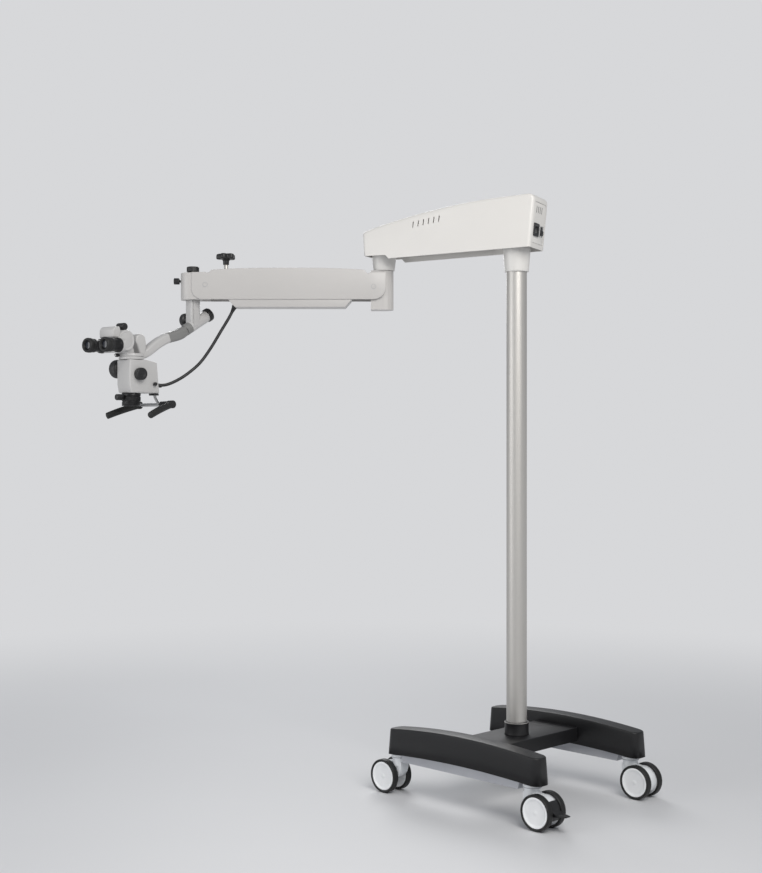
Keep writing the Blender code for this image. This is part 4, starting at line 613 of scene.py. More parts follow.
rear_vents = [(0.0435, 0.0140 * (i - 1)) for i in range(4)]
panel_grey = lacquer("panel_grey", (0.42, 0.42, 0.42), 0.4, 500)
bm = rear_plate(0.1192, 0.0932, 0.0092, 6, PANEL_SPOT, -0.004, -0.0006)
panel = new_object("connection_panel", bm, housing_white)
softened(panel, 0.0006, 2, 60)
holes = [(0.0336, 0.0356, 0.002, 3, INLET_SPOT), (0.028, 0.022, 0.0015, 3, SWITCH_SPOT)]
holes += [(0.020, 0.0044, 0.0020, 4, spot) for spot in rear_vents]
cut_away(panel, [rear_plate(*hole, -0.01, 0.01) for hole in holes])
shade(panel.data, 25)
hang(panel, "upper_arm", "rear_panel")

for i, spot in enumerate(rear_vents):
    filter_strip = extruded(plate_outline(0.0198, 0.0042, 0.0019, 4, *spot), -0.0040, -0.0009)
    fit(f"vent_filter_{i}", filter_strip, REAR, black_moulding, "upper_arm")
inlet = new_object("appliance_inlet", rear_plate(0.0385, 0.0415, 0.003, 4, INLET_SPOT, -0.0006, 0.0024),
                   black_moulding)
softened(inlet, 0.0007, 2, 60)
cut_away(inlet, [rear_plate(0.020, 0.026, 0.004, 5, INLET_SPOT, -0.02, 0.02)])
hang(inlet, "upper_arm", "power_inlet")
well = new_object("inlet_well", rear_plate(0.0330, 0.0350, 0.002, 4, INLET_SPOT, -0.0213, -0.0006),
                  black_moulding)
cut_away(well, [rear_plate(0.0202, 0.0262, 0.004, 5, INLET_SPOT, -0.018, 0.02)])
hang(well, "upper_arm")
for spot, tall in ((-0.0065, 0.0), (0.0, 0.004), (0.0065, 0.0)):
    outline = plate_outline(0.0052, 0.0021, 0.0005, 2, -0.017 + tall, INLET_SPOT[1] + spot)
    pin = extruded(outline, -0.0178, -0.005)
    fit(f"inlet_pin_{round(spot * 1e4) + 65}", pin, REAR, satin_tube, "upper_arm")
rocker = [(-0.0118, -0.006), (0.0118, -0.006), (0.0118, 0.0030)]
for i in range(1, 6):
    dip = 0.0009 * math.sin(math.pi * i / 5)
    rocker.append((0.0118 - 0.00236 * i, 0.0030 - dip + 0.0036 * (i / 5) ** 2))
rocker.append((-0.0118, 0.0064))
bezel = new_object("switch_bezel", rear_plate(0.0325, 0.0262, 0.003, 4, SWITCH_SPOT, -0.0006, 0.0018),
                   panel_grey)
softened(bezel, 0.0006, 2, 60)
cut_away(bezel, [rear_plate(0.0268, 0.0218, 0.0012, 3, SWITCH_SPOT, -0.02, 0.02)])
hang(bezel, "upper_arm")
switch = fit("rocker_switch", extruded(rocker, -0.0104, 0.0104, SIDEWAYS),
             REAR @ Matrix.Translation((*SWITCH_SPOT, -0.002)), black_moulding, "power_switch",
             "power_switch")
softened(switch, 0.0006, 2, 50)

# Arm casting: the painted casting inside the housing. Its two bored bosses show below:
# one over the column's head and one over the lower arm's shaft.

cast_white = lacquer("cast_white", (0.64, 0.63, 0.61), 0.4, 300)
dress("upper_arm_casting", cast_white)
rear_boss = [(0.0309, 1.5637), (0.0356, 1.5637), (0.0362, 1.5645), (0.0364, 1.568), (0.0416, 1.629),
             (0.0416, 1.648), (0.0309, 1.648)]
fit("rear_boss", lathe(rear_boss, 64, True), UPPER, cast_white, "upper_arm")
front_boss = [(0.0155, 1.5903), (0.0322, 1.5903), (0.0329, 1.5912), (0.0332, 1.594), (0.0382, 1.6300),
              (0.0382, 1.646), (0.0155, 1.646)]
UPPER_ARM_REACH = 0.445
FRONT_SHAFT = UPPER @ Matrix.Translation((UPPER_ARM_REACH, 0, 0))
fit("front_boss", lathe(front_boss, 64, True), FRONT_SHAFT, cast_white, "upper_arm")
dress("power_supply", satin_tube)

# Lower arm's rear block: a painted block on the shaft under the upper arm, which holds
# the rear ends of the spring arm's two links.

LOWER = FRONT_SHAFT @ Matrix.Rotation(math.radians(27), 4, "Z")
arm_white = lacquer("arm_white", (0.50, 0.487, 0.475), 0.42, 380)
dress("rear_block", arm_white)
dress("lower_link", satin_tube)

# Spring arm: a deep painted channel over the balance spring, with cheeks that reach
# past the pivot pins at both ends and a notch in the top over each block.

LOWER_ARM_REACH = 0.6
ARM_WIDTH = 0.076
REAR_PIVOT = 0.0323
FRONT_PIVOT = 0.5573
KNOB_SPOT = LOWER @ Matrix.Translation((0.496, 0, 0))


def box(size, middle):
    """Box of a given size about its middle."""
    bm = bmesh.new()
    bmesh.ops.create_cube(bm, size=1.0)
    bmesh.ops.scale(bm, verts=bm.verts, vec=size)
    bmesh.ops.translate(bm, verts=bm.verts, vec=middle)
    return bm


rear_round = REAR_PIVOT + 0.006
outline = [(0.600, 1.5835), (0.5555, 1.5835), (0.549, 1.5785)]
for i in range(25):
    share = 1 - i / 12
    outline.append((0.29975 + 0.23775 * share, 1.5965 - 0.006 * abs(share) ** 3))
outline += [(0.0505, 1.5775), (0.043, 1.5835), (-0.006, 1.5835)]
outline += corner(REAR_PIVOT, 1.498 + rear_round, rear_round, 180, 270, 14)
outline += corner(0.566, 1.532, 0.034, 270, 360, 14)
bm = extruded(outline, -ARM_WIDTH / 2, ARM_WIDTH / 2, LOWER @ SIDEWAYS)
arm = new_object("spring_arm_channel", bm, arm_white)
softened(arm, 0.0020, 3, 50)
channel = box((0.70, 0.070, 0.1375), (0.3, 0, 1.51875))
stud_hole = moved(lathe([(0, 1.58), (0.0073, 1.58), (0.0073, 1.61), (0, 1.61)], 32), KNOB_SPOT)
cut_away(arm, [moved(channel, LOWER), stud_hole])
shade(arm.data, 40)
hang(arm, "spring_arm", "spring_arm_cover")
dress("gas_spring", satin_tube)
dress("light_engine", black_moulding)

# Pivot pins: turned and painted heads, just proud of the arm's cheeks, each ringed with
# painted shadow in dark grey.

pin_head = [(0, 0.0358), (0.0062, 0.0358), (0.0062, 0.0384), (0.0056, 0.0389), (0.0026, 0.0389),
            (0.0022, 0.0384), (0, 0.0384)]
# Ring round each pin head: dark grey painted shadow for the gap round the pin.
pin_shadow_ring = [(0.0060, 0.0358), (0.0082, 0.0358), (0.0082, 0.0382), (0.0060, 0.0382)]
pins = (("rear", REAR_PIVOT, 1.538, "lower_arm_base"), ("front", FRONT_PIVOT, 1.544, "front_block"))
for word, x, z, body in pins:
    for side in (-1, 1):
        place = LOWER @ Matrix.Translation((x, 0, z)) @ Matrix.Rotation(math.radians(-90 * side), 4, "X")
        hand = "near" if side > 0 else "far"
        fit(f"{word}_pin_head_{hand}", lathe(pin_head, 32), place, arm_white, body)
        fit(f"{word}_pin_shadow_ring_{hand}", lathe(pin_shadow_ring, 32, True), place, panel_grey, body)

# Belly pan: the tray under the spring arm that holds the lamp, painted like the arm.

pan_side = [(0.100, 1.506), (0.100, 1.498), (0.1215, 1.474), (0.4645, 1.474), (0.486, 1.498),
            (0.486, 1.506)]
pan = new_object("belly_pan_tray", extruded(pan_side, -0.0347, 0.0347, LOWER @ SIDEWAYS), arm_white)
softened(pan, 0.0014, 3, 35)
pan_inside = [(0.1025, 1.52), (0.1025, 1.4985), (0.1240, 1.4765), (0.4620, 1.4765), (0.4835, 1.4985),
              (0.4835, 1.52)]
cut_away(pan, [extruded(pan_inside, -0.0322, 0.0322, LOWER @ SIDEWAYS)])
hang(pan, "spring_arm", "belly_pan")

# Lift tension knob: a black five-lobed hand knob on a bright threaded stud.

stud = [(0, 1.574), (0.0066, 1.574), (0.0066, 1.6095), (0.0060, 1.6105), (0, 1.6105)]
fit("tension_stud", lathe(stud, 32), KNOB_SPOT, satin_tube, "lift_tension_knob",
    "lift_tension_knob")
neck = [(0, 1.6100), (0.0088, 1.6100), (0.0092, 1.6108), (0.0098, 1.6220), (0.0140, 1.6270), (0, 1.6270)]
fit("tension_knob_neck", lathe(neck, 40), KNOB_SPOT, black_moulding, "lift_tension_knob")


def star_rings():
    """Rings of a five-lobed knob, from its underside up over the crown."""
    levels = ((1.6268, 0.0045), (1.6276, 0.0018), (1.6292, 0.0004), (1.6310, 0.0), (1.6370, 0.0),
              (1.6405, 0.0006), (1.6428, 0.0022), (1.6440, 0.0050), (1.6444, 0.0100))
    rings = []
    for z, inset in levels:
        ring = []
        for i in range(120):
            a = math.tau * i / 120
            lobe = 0.0268 + 0.0046 * math.cos(5 * a) - 0.0007 * math.cos(10 * a)
            ring.append(((lobe - inset) * math.cos(a), (lobe - inset) * math.sin(a), z))
        rings.append(ring)
    return rings


fit("tension_knob_star", skin(star_rings()), KNOB_SPOT, black_moulding, "lift_tension_knob",
    angle=50)

# Levelling block: the painted block at the arm's front end, which the post turns in.
# Its nose is round, and a thumb screw in it clamps the post.

half = 0.0345
plan = corner(0.603, 0, half, -90, 90, 24) + [(0.545, half), (0.545, -half)]
block = new_object("levelling_block", extruded(plan, 1.498, 1.5825, LOWER), arm_white)
softened(block, 0.0015, 3, 50)
link_room = box((0.028, 0.026, 0.036), (FRONT_PIVOT, 0, 1.514))
post_bore = lathe([(0, 1.48), (0.0154, 1.48), (0.0154, 1.6), (0, 1.6)], 48)
post_bore.transform(Matrix.Translation((LOWER_ARM_REACH, 0, 0)))
cut_away(block, [moved(link_room, LOWER), moved(post_bore, LOWER)])
shade(block.data, 40)
hang(block, "front_block", "front_block")


def knurled(profile, ridges, depth, low, high):
    """Turned knob whose side between two heights is cut with straight ridges."""
    bm = lathe(profile, 4 * ridges)
    for vert in bm.verts:
        if low <= vert.co.z <= high and vert.co.xy.length > 0.6 * max(r for r, z in profile):
            phase = math.cos(math.atan2(vert.co.y, vert.co.x) * ridges)
            vert.co.xy *= 1 - depth / vert.co.xy.length * (0.5 - 0.5 * phase)
    return bm


def knob(name, profile, ridges, depth, low, high, place, body):
    """Knurled black knob that is a body of its own."""
    bm = knurled(profile, ridges, depth, low, high)
    fit(name, bm, place, black_moulding, body, body, 50)


def facing(base, spot, way):
    """Placement at a spot with Z along a way, both given in another frame."""
    return aimed(base @ Vector(spot), base.to_3x3() @ Vector(way))


CLAMP = facing(LOWER, (LOWER_ARM_REACH, 0, 1.558), (1, 0, 0))
screw = [(0, 0.030), (0.0038, 0.030), (0.0038, 0.0416), (0.0086, 0.0418), (0.0096, 0.0428),
         (0.0100, 0.0440), (0.0100, 0.0572), (0.0097, 0.0584), (0.0088, 0.0594), (0.0040, 0.0590),
         (0, 0.0590)]
knob("clamp_thumb_screw", screw, 24, 0.0005, 0.0436, 0.0575, CLAMP, "post_clamp_screw")

# Post: a painted upright with rounded edges and a groove in its front, and a round
# slanting barrel behind its foot that the head's arm turns on.

POST = LOWER @ Matrix.Translation((LOWER_ARM_REACH, 0, 0)) @ Matrix.Rotation(math.radians(-225), 4, "Z")
BARREL_LEAN = math.radians(31)
BARREL_FOOT = Vector((0, -0.0136, 1.4125))
TILT = POST @ Matrix.Translation(BARREL_FOOT) @ Matrix.Rotation(BARREL_LEAN - math.radians(90), 4, "X")
head_white = lacquer("head_white", (0.50, 0.495, 0.49), 0.36, 420)


def sliced(bm, point, keep):
    """Cut a solid with a plane and keep the side that the vector points to."""
    whole = bm.verts[:] + bm.edges[:] + bm.faces[:]
    cut = bmesh.ops.bisect_plane(bm, geom=whole, plane_co=point, plane_no=keep, clear_inner=True)
    rim = [e for e in cut["geom_cut"] if isinstance(e, bmesh.types.BMEdge)]
    bmesh.ops.contextual_create(bm, geom=rim)


along = Vector((0, math.cos(BARREL_LEAN), math.sin(BARREL_LEAN)))
above = Vector((0, -along.z, along.y))
upright = extruded(plate_outline(0.038, 0.036, 0.010, 7), 1.385, 1.4977)
sliced(upright, BARREL_FOOT + along * 0.001, along)
sliced(upright, BARREL_FOOT - above * 0.003, above)
post = new_object("post_upright", moved(upright, POST), head_white)
softened(post, 0.0010, 2, 50)
cut_away(post, [moved(box((0.0046, 0.0046, 0.2), (0.0175, -0.0125, 1.46)), POST)])
shade(post.data, 40)
hang(post, "post", "swivel_post")
barrel = [(0, 0.0003), (0.0176, 0.0003), (0.0183, 0.0010), (0.0183, 0.0745), (0.0178, 0.0757), (0, 0.0757)]
fit("tilt_barrel", lathe(barrel, 64), TILT, head_white, "post")
spindle = [(0, 1.49), (0.0150, 1.49), (0.0150, 1.570), (0, 1.570)]
fit("post_spindle", lathe(spindle, 48), POST, satin_tube, "post")

# Post knobs: a low knurled knob on top of the spindle, a round one on the barrel's
# upper end and a broad one on the far side that sets the tilt's friction.

top_knob = [(0, 1.5828), (0.0140, 1.5828), (0.0140, 1.5860), (0.0180, 1.5870), (0.0193, 1.5880),
            (0.0195, 1.5895), (0.0195, 1.6000), (0.0190, 1.6017), (0.0175, 1.6031), (0.0060, 1.6033),
            (0, 1.6033)]
knob("post_top_knob", top_knob, 30, 0.0007, 1.5885, 1.6010, POST, "post_tension_knob")
end_knob = [(0, 0.0763), (0.0190, 0.0763), (0.0208, 0.0770), (0.0215, 0.0785), (0.0215, 0.0890),
            (0.0210, 0.0908), (0.0195, 0.0922), (0.0160, 0.0932), (0.0060, 0.0932), (0.0050, 0.0926),
            (0, 0.0926)]
knob("barrel_end_knob", end_knob, 36, 0.0005, 0.078, 0.0895, TILT, "tilt_knob")
SIDE = facing(POST, (0, 0, 1.438), (-1, 0, 0))
broad_knob = [(0, 0.0193), (0.0118, 0.0193), (0.0130, 0.0215), (0.0140, 0.0252), (0.0200, 0.0273),
              (0.0215, 0.0283), (0.0220, 0.0298), (0.0220, 0.0405), (0.0215, 0.0425), (0.0195, 0.0442),
              (0.0150, 0.0446), (0, 0.0446)]
knob("friction_knob", broad_knob, 20, 0.0012, 0.029, 0.0418, SIDE, "tilt_friction_knob")

# Swan-neck arm: a bent painted arm from the slanting joint down to the head's ring. Its
# first stretch is a separate coupling block whose dark grey is painted shade for its
# shaded underside; the flange at the slanting joint has the same painted shade.

SWAN_LINE = [(-0.0239, 1.4063, 0.80, 0.80), (-0.0342, 1.3998, 0.9, 0.9), (-0.048, 1.3915, 1, 1),
             (-0.064, 1.3850, 1, 0.98), (-0.080, 1.3805, 1, 0.96), (-0.100, 1.3750, 1, 0.92),
             (-0.120, 1.3665, 1, 0.92), (-0.140, 1.3550, 1, 0.92), (-0.160, 1.3410, 1, 0.92),
             (-0.178, 1.3270, 1, 0.85), (-0.192, 1.3170, 1, 0.6), (-0.202, 1.3120, 1, 0.45)]
# The coupling's and flange's dark grey is painted shade for the shaded underside, not a paint of their
# own.
coupling_painted_shade = lacquer("coupling_painted_shade", (0.21, 0.21, 0.206), 0.42, 420)


def arm_rings(stations, width, depth):
    """Rounded sections along stations of (y, z, width scale, depth scale)."""
    section = plate_outline(width, depth, 0.010, 5)
    dense = []
    for a, b in zip(stations, stations[1:]):
        for i in range(4):
            dense.append([p + (q - p) * i / 4 for p, q in zip(a, b)])
    dense.append(list(stations[-1]))
    for _ in range(6):
        trios = zip(dense, dense[1:], dense[2:])
        inner = [[(p + 2 * q + r) / 4 for p, q, r in zip(a, b, c)] for a, b, c in trios]
        dense = [dense[0]] + inner + [dense[-1]]
    rings = []
    for i, (y, z, wide, deep) in enumerate(dense):
        before, after = dense[max(i - 1, 0)], dense[min(i + 1, len(dense) - 1)]
        way = Vector((0, after[0] - before[0], after[1] - before[1])).normalized()
        up = Vector((1, 0, 0)).cross(way)
        rings.append([Vector((p * wide, y, z)) + up * (q * deep) for p, q in section])
    return rings


rings = arm_rings(SWAN_LINE, 0.032, 0.034)
split = 20
fit("swan_neck", skin(rings[split:]), POST, head_white, "head", "swan_arm", 40)
coupling = []
for ring in rings[:split + 1]:
    middle = sum(ring, Vector()) / len(ring)
    coupling.append([p + (p - middle) * 0.015 for p in ring])
fit("swan_coupling", skin(coupling), POST, coupling_painted_shade, "head", angle=40)
flange = [(0, -0.020), (0.0172, -0.020), (0.0180, -0.0190), (0.0180, -0.0012), (0.0174, -0.0004),
          (0, -0.0004)]
fit("swan_flange", lathe(flange, 64), TILT, coupling_painted_shade, "head")

# Yoke and ring: the arm ends in a rounded, upright yoke on a ring that holds the head.

ACROSS = Matrix(((0, 0, 1, 0), (1, 0, 0, 0), (0, 1, 0, 0), (0, 0, 0, 1)))
lobe = corner(-0.213, 1.362, 0.019, 30, 230, 20) + [(-0.211, 1.3052), (-0.197, 1.3052), (-0.1925, 1.352)]
yoke = new_object("swan_yoke", extruded(lobe, -0.024, 0.024, POST @ ACROSS), head_white)
softened(yoke, 0.0055, 4, 50)
hang(yoke, "head")
HEAD = POST @ Matrix.Translation((0, -0.232, 0))
ring = [(0.0203, 1.3033), (0.0367, 1.3033), (0.0375, 1.3041), (0.0375, 1.3110), (0.0367, 1.3117),
        (0.0203, 1.3117)]
fit("head_ring", lathe(ring, 80, True), HEAD, head_white, "head")

# Head body: a die-cast, painted housing with a raking back, a sloping shoulder and a
# chamfered chin. The magnification changer and the lamp optics are inside.

HEAD_HALF = 0.0345

side_view = [(-0.260, 1.228), (-0.255, 1.202), (-0.152, 1.202), (-0.161, 1.294), (-0.1625, 1.2958),
             (-0.166, 1.2972), (-0.202, 1.303), (-0.260, 1.303)]
body = new_object("head_housing", extruded(side_view, -HEAD_HALF, HEAD_HALF, POST @ ACROSS), head_white)
softened(body, 0.0045, 4, 50)
hang(body, "head", "head_body")
neck = [(0, 1.298), (0.0200, 1.298), (0.0200, 1.312), (0, 1.312)]
fit("head_neck", lathe(neck, 64), HEAD, satin_tube, "head")

# Head knobs: the ribbed magnification knob on the near side, the larger one on the far
# side and the small oval lever of the light filter.

NEAR = facing(POST, (HEAD_HALF, -0.228, 1.259), (1, 0, 0))
zoom = [(0, 0.0003), (0.0165, 0.0003), (0.0170, 0.0012), (0.0178, 0.0016), (0.0187, 0.0026),
        (0.0187, 0.0160), (0.0181, 0.0178), (0.0170, 0.0188), (0.0160, 0.0191), (0.0110, 0.0184),
        (0.0085, 0.0172), (0, 0.0170)]
knob("magnification_knob", zoom, 32, 0.0007, 0.0022, 0.0172, NEAR, "zoom_knob")
FAR = facing(POST, (-HEAD_HALF, -0.242, 1.276), (-1, 0, 0))
broad = [(0, 0.0003), (0.0240, 0.0003), (0.0265, 0.0020), (0.0285, 0.0040), (0.0285, 0.0260),
         (0.0280, 0.0278), (0.0265, 0.0295), (0.0245, 0.0302), (0.0140, 0.0298), (0, 0.0298)]
knob("far_side_knob", broad, 40, 0.0011, 0.0035, 0.0270, FAR, "filter_knob")
LEVER = facing(POST, (HEAD_HALF, -0.173, 1.230), (1, 0, 0))
lever = [(0, 0.0003), (0.0034, 0.0003), (0.0034, 0.0030), (0.0055, 0.0036), (0.0060, 0.0046),
         (0.0060, 0.0088), (0.0054, 0.0100), (0.0040, 0.0105), (0, 0.0105)]
fit("light_filter_lever", lathe(lever, 40), LEVER @ Matrix.Diagonal((1, 0.9, 1, 1)), black_moulding,
    "light_lever", "light_lever", 50)

# Objective: a black anodised barrel with a ribbed focusing ring and a coated front
# lens set back in it, and a small focusing knob on its front.

anodised, shader = finish("black_anodised", (0.016, 0.016, 0.017), 0.34, 0.5)
grain(anodised, shader, 900, 0.08, 0.0002)
vary(anodised, shader, "Roughness", 60, 0.28, 0.42)
coated_glass, shader = finish("coated_glass", (0.006, 0.008, 0.014), 0.06, 0.0, Coat_Weight=0.3,
                              Coat_Roughness=0.03, Specular_IOR_Level=0.45)
vary(coated_glass, shader, "Base Color", 30, (0.005, 0.007, 0.013), (0.009, 0.013, 0.022))
barrel = [(0.0180, 1.1670), (0.0215, 1.1640), (0.0225, 1.1632), (0.0272, 1.1632), (0.0280, 1.1640),
          (0.0280, 1.1740), (0.0268, 1.1748), (0.0268, 1.1782), (0.0284, 1.1790), (0.0284, 1.1905),
          (0.0268, 1.1913), (0.0268, 1.1935), (0.0284, 1.1942), (0.0284, 1.2010), (0.0279, 1.2016),
          (0.0180, 1.2016)]
lens_barrel = knurled(barrel, 48, 0.0008, 1.1786, 1.1909)
fit("objective_barrel", lens_barrel, HEAD, anodised, "objective", "objective", 50)
core = [(0, 1.172), (0.0185, 1.172), (0.0185, 1.2016), (0.0178, 1.2155), (0, 1.2155)]
fit("objective_core", lathe(core, 48), HEAD, anodised, "objective")


def dished(radius, height, rise):
    """Points from the axis out along a shallow curve."""
    return [(radius * i / 8, height + rise * (i / 8) ** 2) for i in range(9)]


dome = dished(0.0190, 1.1655, 0.0025) + [(0.0190, 1.1715), (0, 1.1715)]
fit("objective_lens", lathe(dome, 48), HEAD, coated_glass, "objective")
FOCUS = facing(HEAD, (0, 0, 1.189), (0, -1, 0))
focus = [(0, 0.0265), (0.0030, 0.0265), (0.0030, 0.0351), (0.0076, 0.0353), (0.0091, 0.0363),
         (0.0095, 0.0375), (0.0095, 0.0518), (0.0090, 0.0532), (0.0078, 0.0540), (0, 0.0540)]
knob("focusing_knob", focus, 18, 0.0005, 0.0368, 0.0525, FOCUS, "focus_knob")

# Handle bar: a bright cross bar under the head on a slanting rod, with a black clamp
# beside the near handle.

BAR_Y = -0.147
BAR_Z = 1.168
BAR = facing(POST, (0, BAR_Y, BAR_Z), (1, 0, 0))
bar = [(0, -0.0800), (0.0050, -0.0800), (0.0055, -0.0795), (0.0055, 0.0795), (0.0050, 0.0800), (0, 0.0800)]
bright_bar, shader = finish("bright_bar", (0.42, 0.42, 0.42), 0.26, 1.0)
grain(bright_bar, shader, 400, 0.05, 0.0002)
vary(bright_bar, shader, "Roughness", 80, 0.16, 0.28)
fit("cross_bar", lathe(bar, 32), BAR, bright_bar, "head", "handle_bar")
clamp = [(0, 0.0360), (0.0094, 0.0360), (0.0100, 0.0366), (0.0100, 0.0614), (0.0094, 0.0620), (0, 0.0620)]
fit("bar_clamp", lathe(clamp, 40), BAR, black_moulding, "head")
rod = ((-0.1620, 1.1990), (-0.1600, 1.1900), (-0.1540, 1.1800), (-0.1480, 1.1700))
rod_line = smooth_line([Vector((0.022, y, z)) for y, z in rod], 5)
fit("hanger_rod", skin(hose_rings(rod_line, 0.0043, 20)), POST, bright_bar, "head", angle=60)
place = POST @ Matrix.Translation((0.018, -0.162, 0))
bm = extruded(plate_outline(0.030, 0.018, 0.003, 4), 1.1957, 1.2017, place)
plate = new_object("hanger_plate", bm, black_moulding)
softened(plate, 0.0008, 2, 50)
hang(plate, "head")

# Handles: soft black grips that hang from the ends of the bar and reach forwards, each
# with a broad hub and a rounded end cap.

CROSSWISE = Matrix.Rotation(math.radians(90), 4, "Y")

grip_rubber = rubber_look("grip_rubber", (0.010, 0.010, 0.010), 0.60)
hub = [(0, -0.0110), (0.0108, -0.0110), (0.0120, -0.0098), (0.0120, 0.0098), (0.0108, 0.0110), (0, 0.0110)]
for word, side in (("near", 1), ("far", -1)):
    place = POST @ Matrix.Translation((side * 0.085, BAR_Y, BAR_Z)) @ CROSSWISE
    carrier = f"handle_{word}"
    fit(f"handle_hub_{word}", lathe(hub, 48), place, grip_rubber, carrier, carrier)
    start = Vector((side * 0.086, -0.151, 1.166))
    end = Vector((side * 0.114, -0.245, 1.133))
    way = (end - start).normalized()
    flat = way.cross(Vector((0, 0, 1))).normalized()
    rise = flat.cross(way)
    rings = []
    for i in range(41):
        t = i / 40
        size = 0.0099 + 0.0006 * math.sin(math.pi * t) - (0.0008 if 0.86 < t < 0.875 else 0)
        if t > 0.965:
            size = 0.0100 * math.sqrt(max(0.05, 1 - ((t - 0.965) / 0.036) ** 2))
        middle = start.lerp(end, t) + Vector((0, 0, 0.002 * math.sin(math.pi * t)))
        ring = []
        for k in range(40):
            a = math.tau * k / 40
            rib = 0.00035 * (0.5 + 0.5 * math.cos(20 * a)) if 0.1 < t < 0.84 else 0.0
            ring.append(middle + (flat * math.cos(a) + rise * math.sin(a)) * (size - rib))
        rings.append(ring)
    fit(f"handle_grip_{word}", skin(rings), POST, grip_rubber, carrier, angle=50)

# Binocular mount: a flange that turns on the head's neck, with a cradle for the
# drum that the eyepiece tube tilts in, and a small black and silver lock screw.

BINO = HEAD @ Matrix.Rotation(math.radians(8), 4, "Z")
DRUM = BINO @ Matrix.Translation((0, -0.0475, 1.358))
flange = [(0, 1.3123), (0.0377, 1.3123), (0.0384, 1.3130), (0.0385, 1.3188), (0.0379, 1.3202),
          (0.0365, 1.3210), (0, 1.3210)]
fit("binocular_flange", lathe(flange, 80), BINO, head_white, "binocular_base",
    "binocular_mount")
hollow = corner(-0.0475, 1.358, 0.0313, 0, -75, 16)
cradle = new_object("binocular_cradle",
                    extruded(hollow + [(-0.036, 1.318), (-0.004, 1.318), (-0.012, 1.340)], -0.020, 0.020,
                             BINO @ ACROSS), head_white)
softened(cradle, 0.0012, 3, 50)
hang(cradle, "binocular_base")
LOCK = facing(BINO, (-0.012, -0.0377, 1.3152), (0, -1, 0))
lock = [(0, 0.0), (0.0030, 0.0), (0.0030, 0.0040), (0.0054, 0.0044), (0.0058, 0.0052), (0.0058, 0.0124),
        (0.0052, 0.0132), (0, 0.0132)]
knob("lock_screw_head", lock, 16, 0.0005, 0.0048, 0.0128, LOCK, "binocular_lock_screw")
tip = [(0, 0.0130), (0.0034, 0.0130), (0.0034, 0.0168), (0.0028, 0.0178), (0, 0.0180)]
fit("lock_screw_tip", lathe(tip, 24), LOCK, bright_bar, "binocular_lock_screw")

# Binocular tube: a tilting drum with a boxy prism housing on it and an oblong front
# plate, whose two eyepiece tubes slide apart and together.

drum = [(0, -0.0330), (0.0290, -0.0330), (0.0304, -0.0325), (0.0310, -0.0310), (0.0310, 0.0310),
        (0.0304, 0.0325), (0.0290, 0.0330), (0.0235, 0.0330), (0.0228, 0.0326), (0.0221, 0.0330),
        (0, 0.0330)]
fit("tilting_drum", lathe(drum, 72), DRUM @ CROSSWISE, head_white, "binocular_head",
    "prism_housing")
side_view = [(-0.052, 0.006), (-0.026, 0.006), (-0.021, 0.024), (-0.025, 0.040), (-0.043, 0.039),
             (-0.052, 0.030)]
prism = new_object("prism_box", extruded(side_view, -0.031, 0.031, DRUM @ ACROSS), head_white)
softened(prism, 0.0045, 4, 30)
hang(prism, "binocular_head")
front = DRUM @ Matrix.Translation((0, -0.0317, 0)) @ SIDEWAYS
slide = new_object("slide_plate",
                   extruded(plate_outline(0.104, 0.040, 0.018, 10, 0, -0.017), -0.014, 0.0, front),
                   head_white)
softened(slide, 0.0015, 3, 50)
hang(slide, "binocular_head")
spacing = [(0, -0.0150), (0.0088, -0.0150), (0.0104, -0.0144), (0.0110, -0.0132), (0.0110, 0.0132),
           (0.0104, 0.0144), (0.0088, 0.0150), (0, 0.0150)]
knob("spacing_roller", spacing, 22, 0.0006, -0.0135, 0.0135,
     DRUM @ Matrix.Translation((0.004, 0.006, 0.0419)) @ CROSSWISE, "spacing_knob")

# Eyepieces: black tubes with a ribbed dioptre ring, a soft rubber eyecup and a coated
# eye lens. They are the same on both sides.

rim = [(0.0190, 0.0003), (0.0222, 0.0003), (0.0226, 0.0009), (0.0226, 0.0034), (0.0220, 0.0040),
       (0.0190, 0.0040)]
tube = [(0, 0.0003), (0.0208, 0.0003), (0.0215, 0.0010), (0.0215, 0.0110), (0.0208, 0.0120),
        (0.0190, 0.0126), (0.0184, 0.0140), (0.0182, 0.0330), (0.0188, 0.0346), (0, 0.0346)]
ring = [(0, 0.0344), (0.0196, 0.0344), (0.0205, 0.0352), (0.0205, 0.0430), (0.0196, 0.0438), (0, 0.0438)]
cup = [(0.0128, 0.0436), (0.0196, 0.0436), (0.0204, 0.0455), (0.0213, 0.0463), (0.0219, 0.0490),
       (0.0220, 0.0566), (0.0217, 0.0606), (0.0208, 0.0626), (0.0196, 0.0634), (0.0182, 0.0635),
       (0.0162, 0.0630), (0.0146, 0.0614), (0.0136, 0.0592), (0.0130, 0.0560)]
lens_face = dished(0.0132, 0.0590, -0.0018) + [(0.0132, 0.0530), (0, 0.0530)]
retainer = [(0.0108, 0.0530), (0.0131, 0.0530), (0.0131, 0.0602), (0.0124, 0.0608), (0.0114, 0.0598),
            (0.0108, 0.0584)]
for word, side in (("near", 1), ("far", -1)):
    place = facing(DRUM, (side * 0.037, -0.032, -0.017), (0, -1, 0))
    carrier = f"ocular_{word}"
    fit(f"eyepiece_tube_{word}", lathe(tube, 64), place, anodised, carrier,
        f"ocular_{word}")
    fit(f"eyepiece_rim_{word}", lathe(rim, 64, True), place, head_white, carrier)
    fit(f"dioptre_ring_{word}", knurled(ring, 36, 0.0008, 0.0350, 0.0432), place, black_moulding, carrier,
        angle=50)
    fit(f"eyecup_{word}", lathe(cup, 64, True), place, grip_rubber, carrier, angle=60)
    fit(f"eye_lens_{word}", lathe(lens_face, 48), place, coated_glass, carrier)
    fit(f"lens_retainer_{word}", lathe(retainer, 48, True), place, anodised, carrier)

# Studio: a pale floor that the stand rests on, a white surround and broad soft lamps.

BACKDROP = (0.68, 0.685, 0.70)

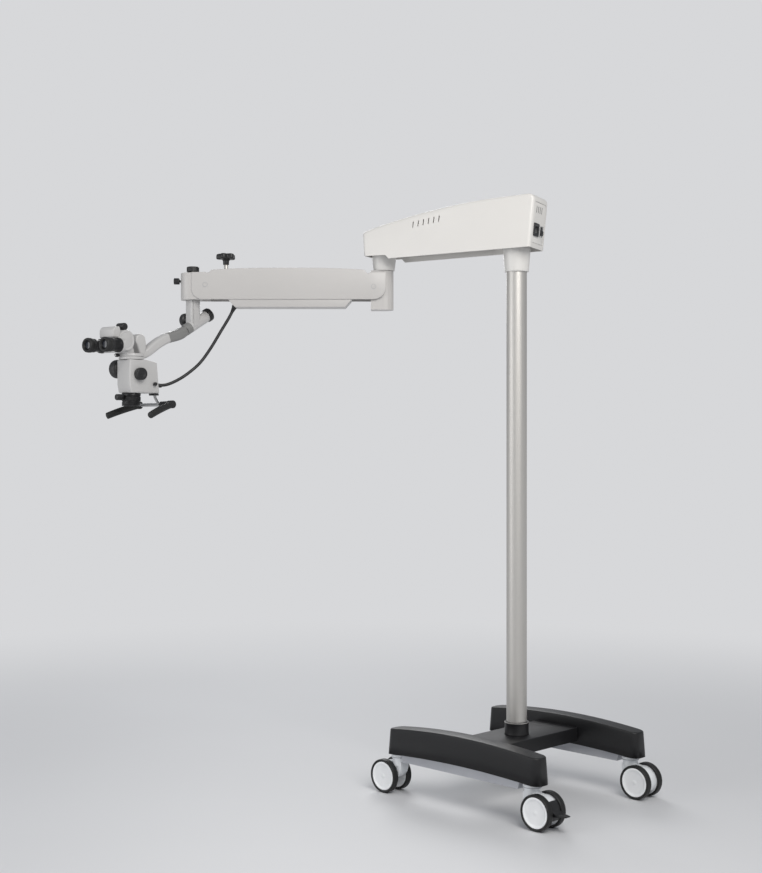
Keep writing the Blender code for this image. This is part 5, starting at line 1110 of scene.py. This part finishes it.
floor_look, shader = finish("studio_floor", (0.66, 0.665, 0.68), 0.6)
vary(floor_look, shader, "Base Color", 0.6, (0.65, 0.655, 0.67), (0.67, 0.675, 0.69))
nodes, links = floor_look.node_tree.nodes, floor_look.node_tree.links
place = nodes.new("ShaderNodeTexCoord")
reach = nodes.new("ShaderNodeVectorMath")
reach.operation = "LENGTH"
fade = nodes.new("ShaderNodeMapRange")
fade.interpolation_type = "SMOOTHSTEP"
fade.inputs["From Min"].default_value = 1.0
fade.inputs["From Max"].default_value = 4.0
glow = nodes.new("ShaderNodeEmission")
glow.inputs["Color"].default_value = (*BACKDROP, 1)
blend = nodes.new("ShaderNodeMixShader")
links.new(place.outputs["Object"], reach.inputs[0])
links.new(reach.outputs["Value"], fade.inputs["Value"])
links.new(fade.outputs["Result"], blend.inputs["Fac"])
links.new(shader.outputs["BSDF"], blend.inputs[1])
links.new(glow.outputs["Emission"], blend.inputs[2])
links.new(blend.outputs["Shader"], nodes["Material Output"].inputs["Surface"])
bm = bmesh.new()
bmesh.ops.create_grid(bm, x_segments=1, y_segments=1, size=40)
floor = new_object("studio_floor", bm, floor_look)

world = bpy.data.worlds.new("studio")
world.use_nodes = True
bpy.context.scene.world = world
nodes, links = world.node_tree.nodes, world.node_tree.links
surround = nodes["Background"]
surround.inputs["Color"].default_value = (0.92, 0.95, 1.0, 1)
surround.inputs["Strength"].default_value = 0.36
backdrop = nodes.new("ShaderNodeBackground")
backdrop.inputs["Color"].default_value = (*BACKDROP, 1)
backdrop.inputs["Strength"].default_value = 1.0
path = nodes.new("ShaderNodeLightPath")
mix = nodes.new("ShaderNodeMixShader")
links.new(path.outputs["Is Camera Ray"], mix.inputs["Fac"])
links.new(surround.outputs["Background"], mix.inputs[1])
links.new(backdrop.outputs["Background"], mix.inputs[2])
links.new(mix.outputs["Shader"], nodes["World Output"].inputs["Surface"])


def lamp(name, spot, aim, size, power, colour=(1, 1, 1)):
    """Broad soft box aimed at a point."""
    light = bpy.data.lights.new(name, "AREA")
    light.shape = "RECTANGLE"
    light.size, light.size_y = size
    light.energy = power
    light.color = colour
    made = bpy.data.objects.new(name, light)
    made.location = spot
    made.rotation_euler = (Vector(aim) - Vector(spot)).to_track_quat("-Z", "Y").to_euler()
    bpy.context.scene.collection.objects.link(made)


lamp("key_soft_box", (2.9, -1.2, 3.2), (0.1, 0.0, 1.2), (2.2, 2.2), 105, (1.0, 0.98, 0.95))
lamp("fill_soft_box", (-1.4, -3.8, 1.6), (0, 0, 1.0), (2.8, 2.2), 42)
lamp("rim_soft_box", (-3.0, 2.5, 2.8), (0, 0, 1.2), (2.2, 1.8), 60)

bpy.context.scene.view_settings.view_transform = "Standard"
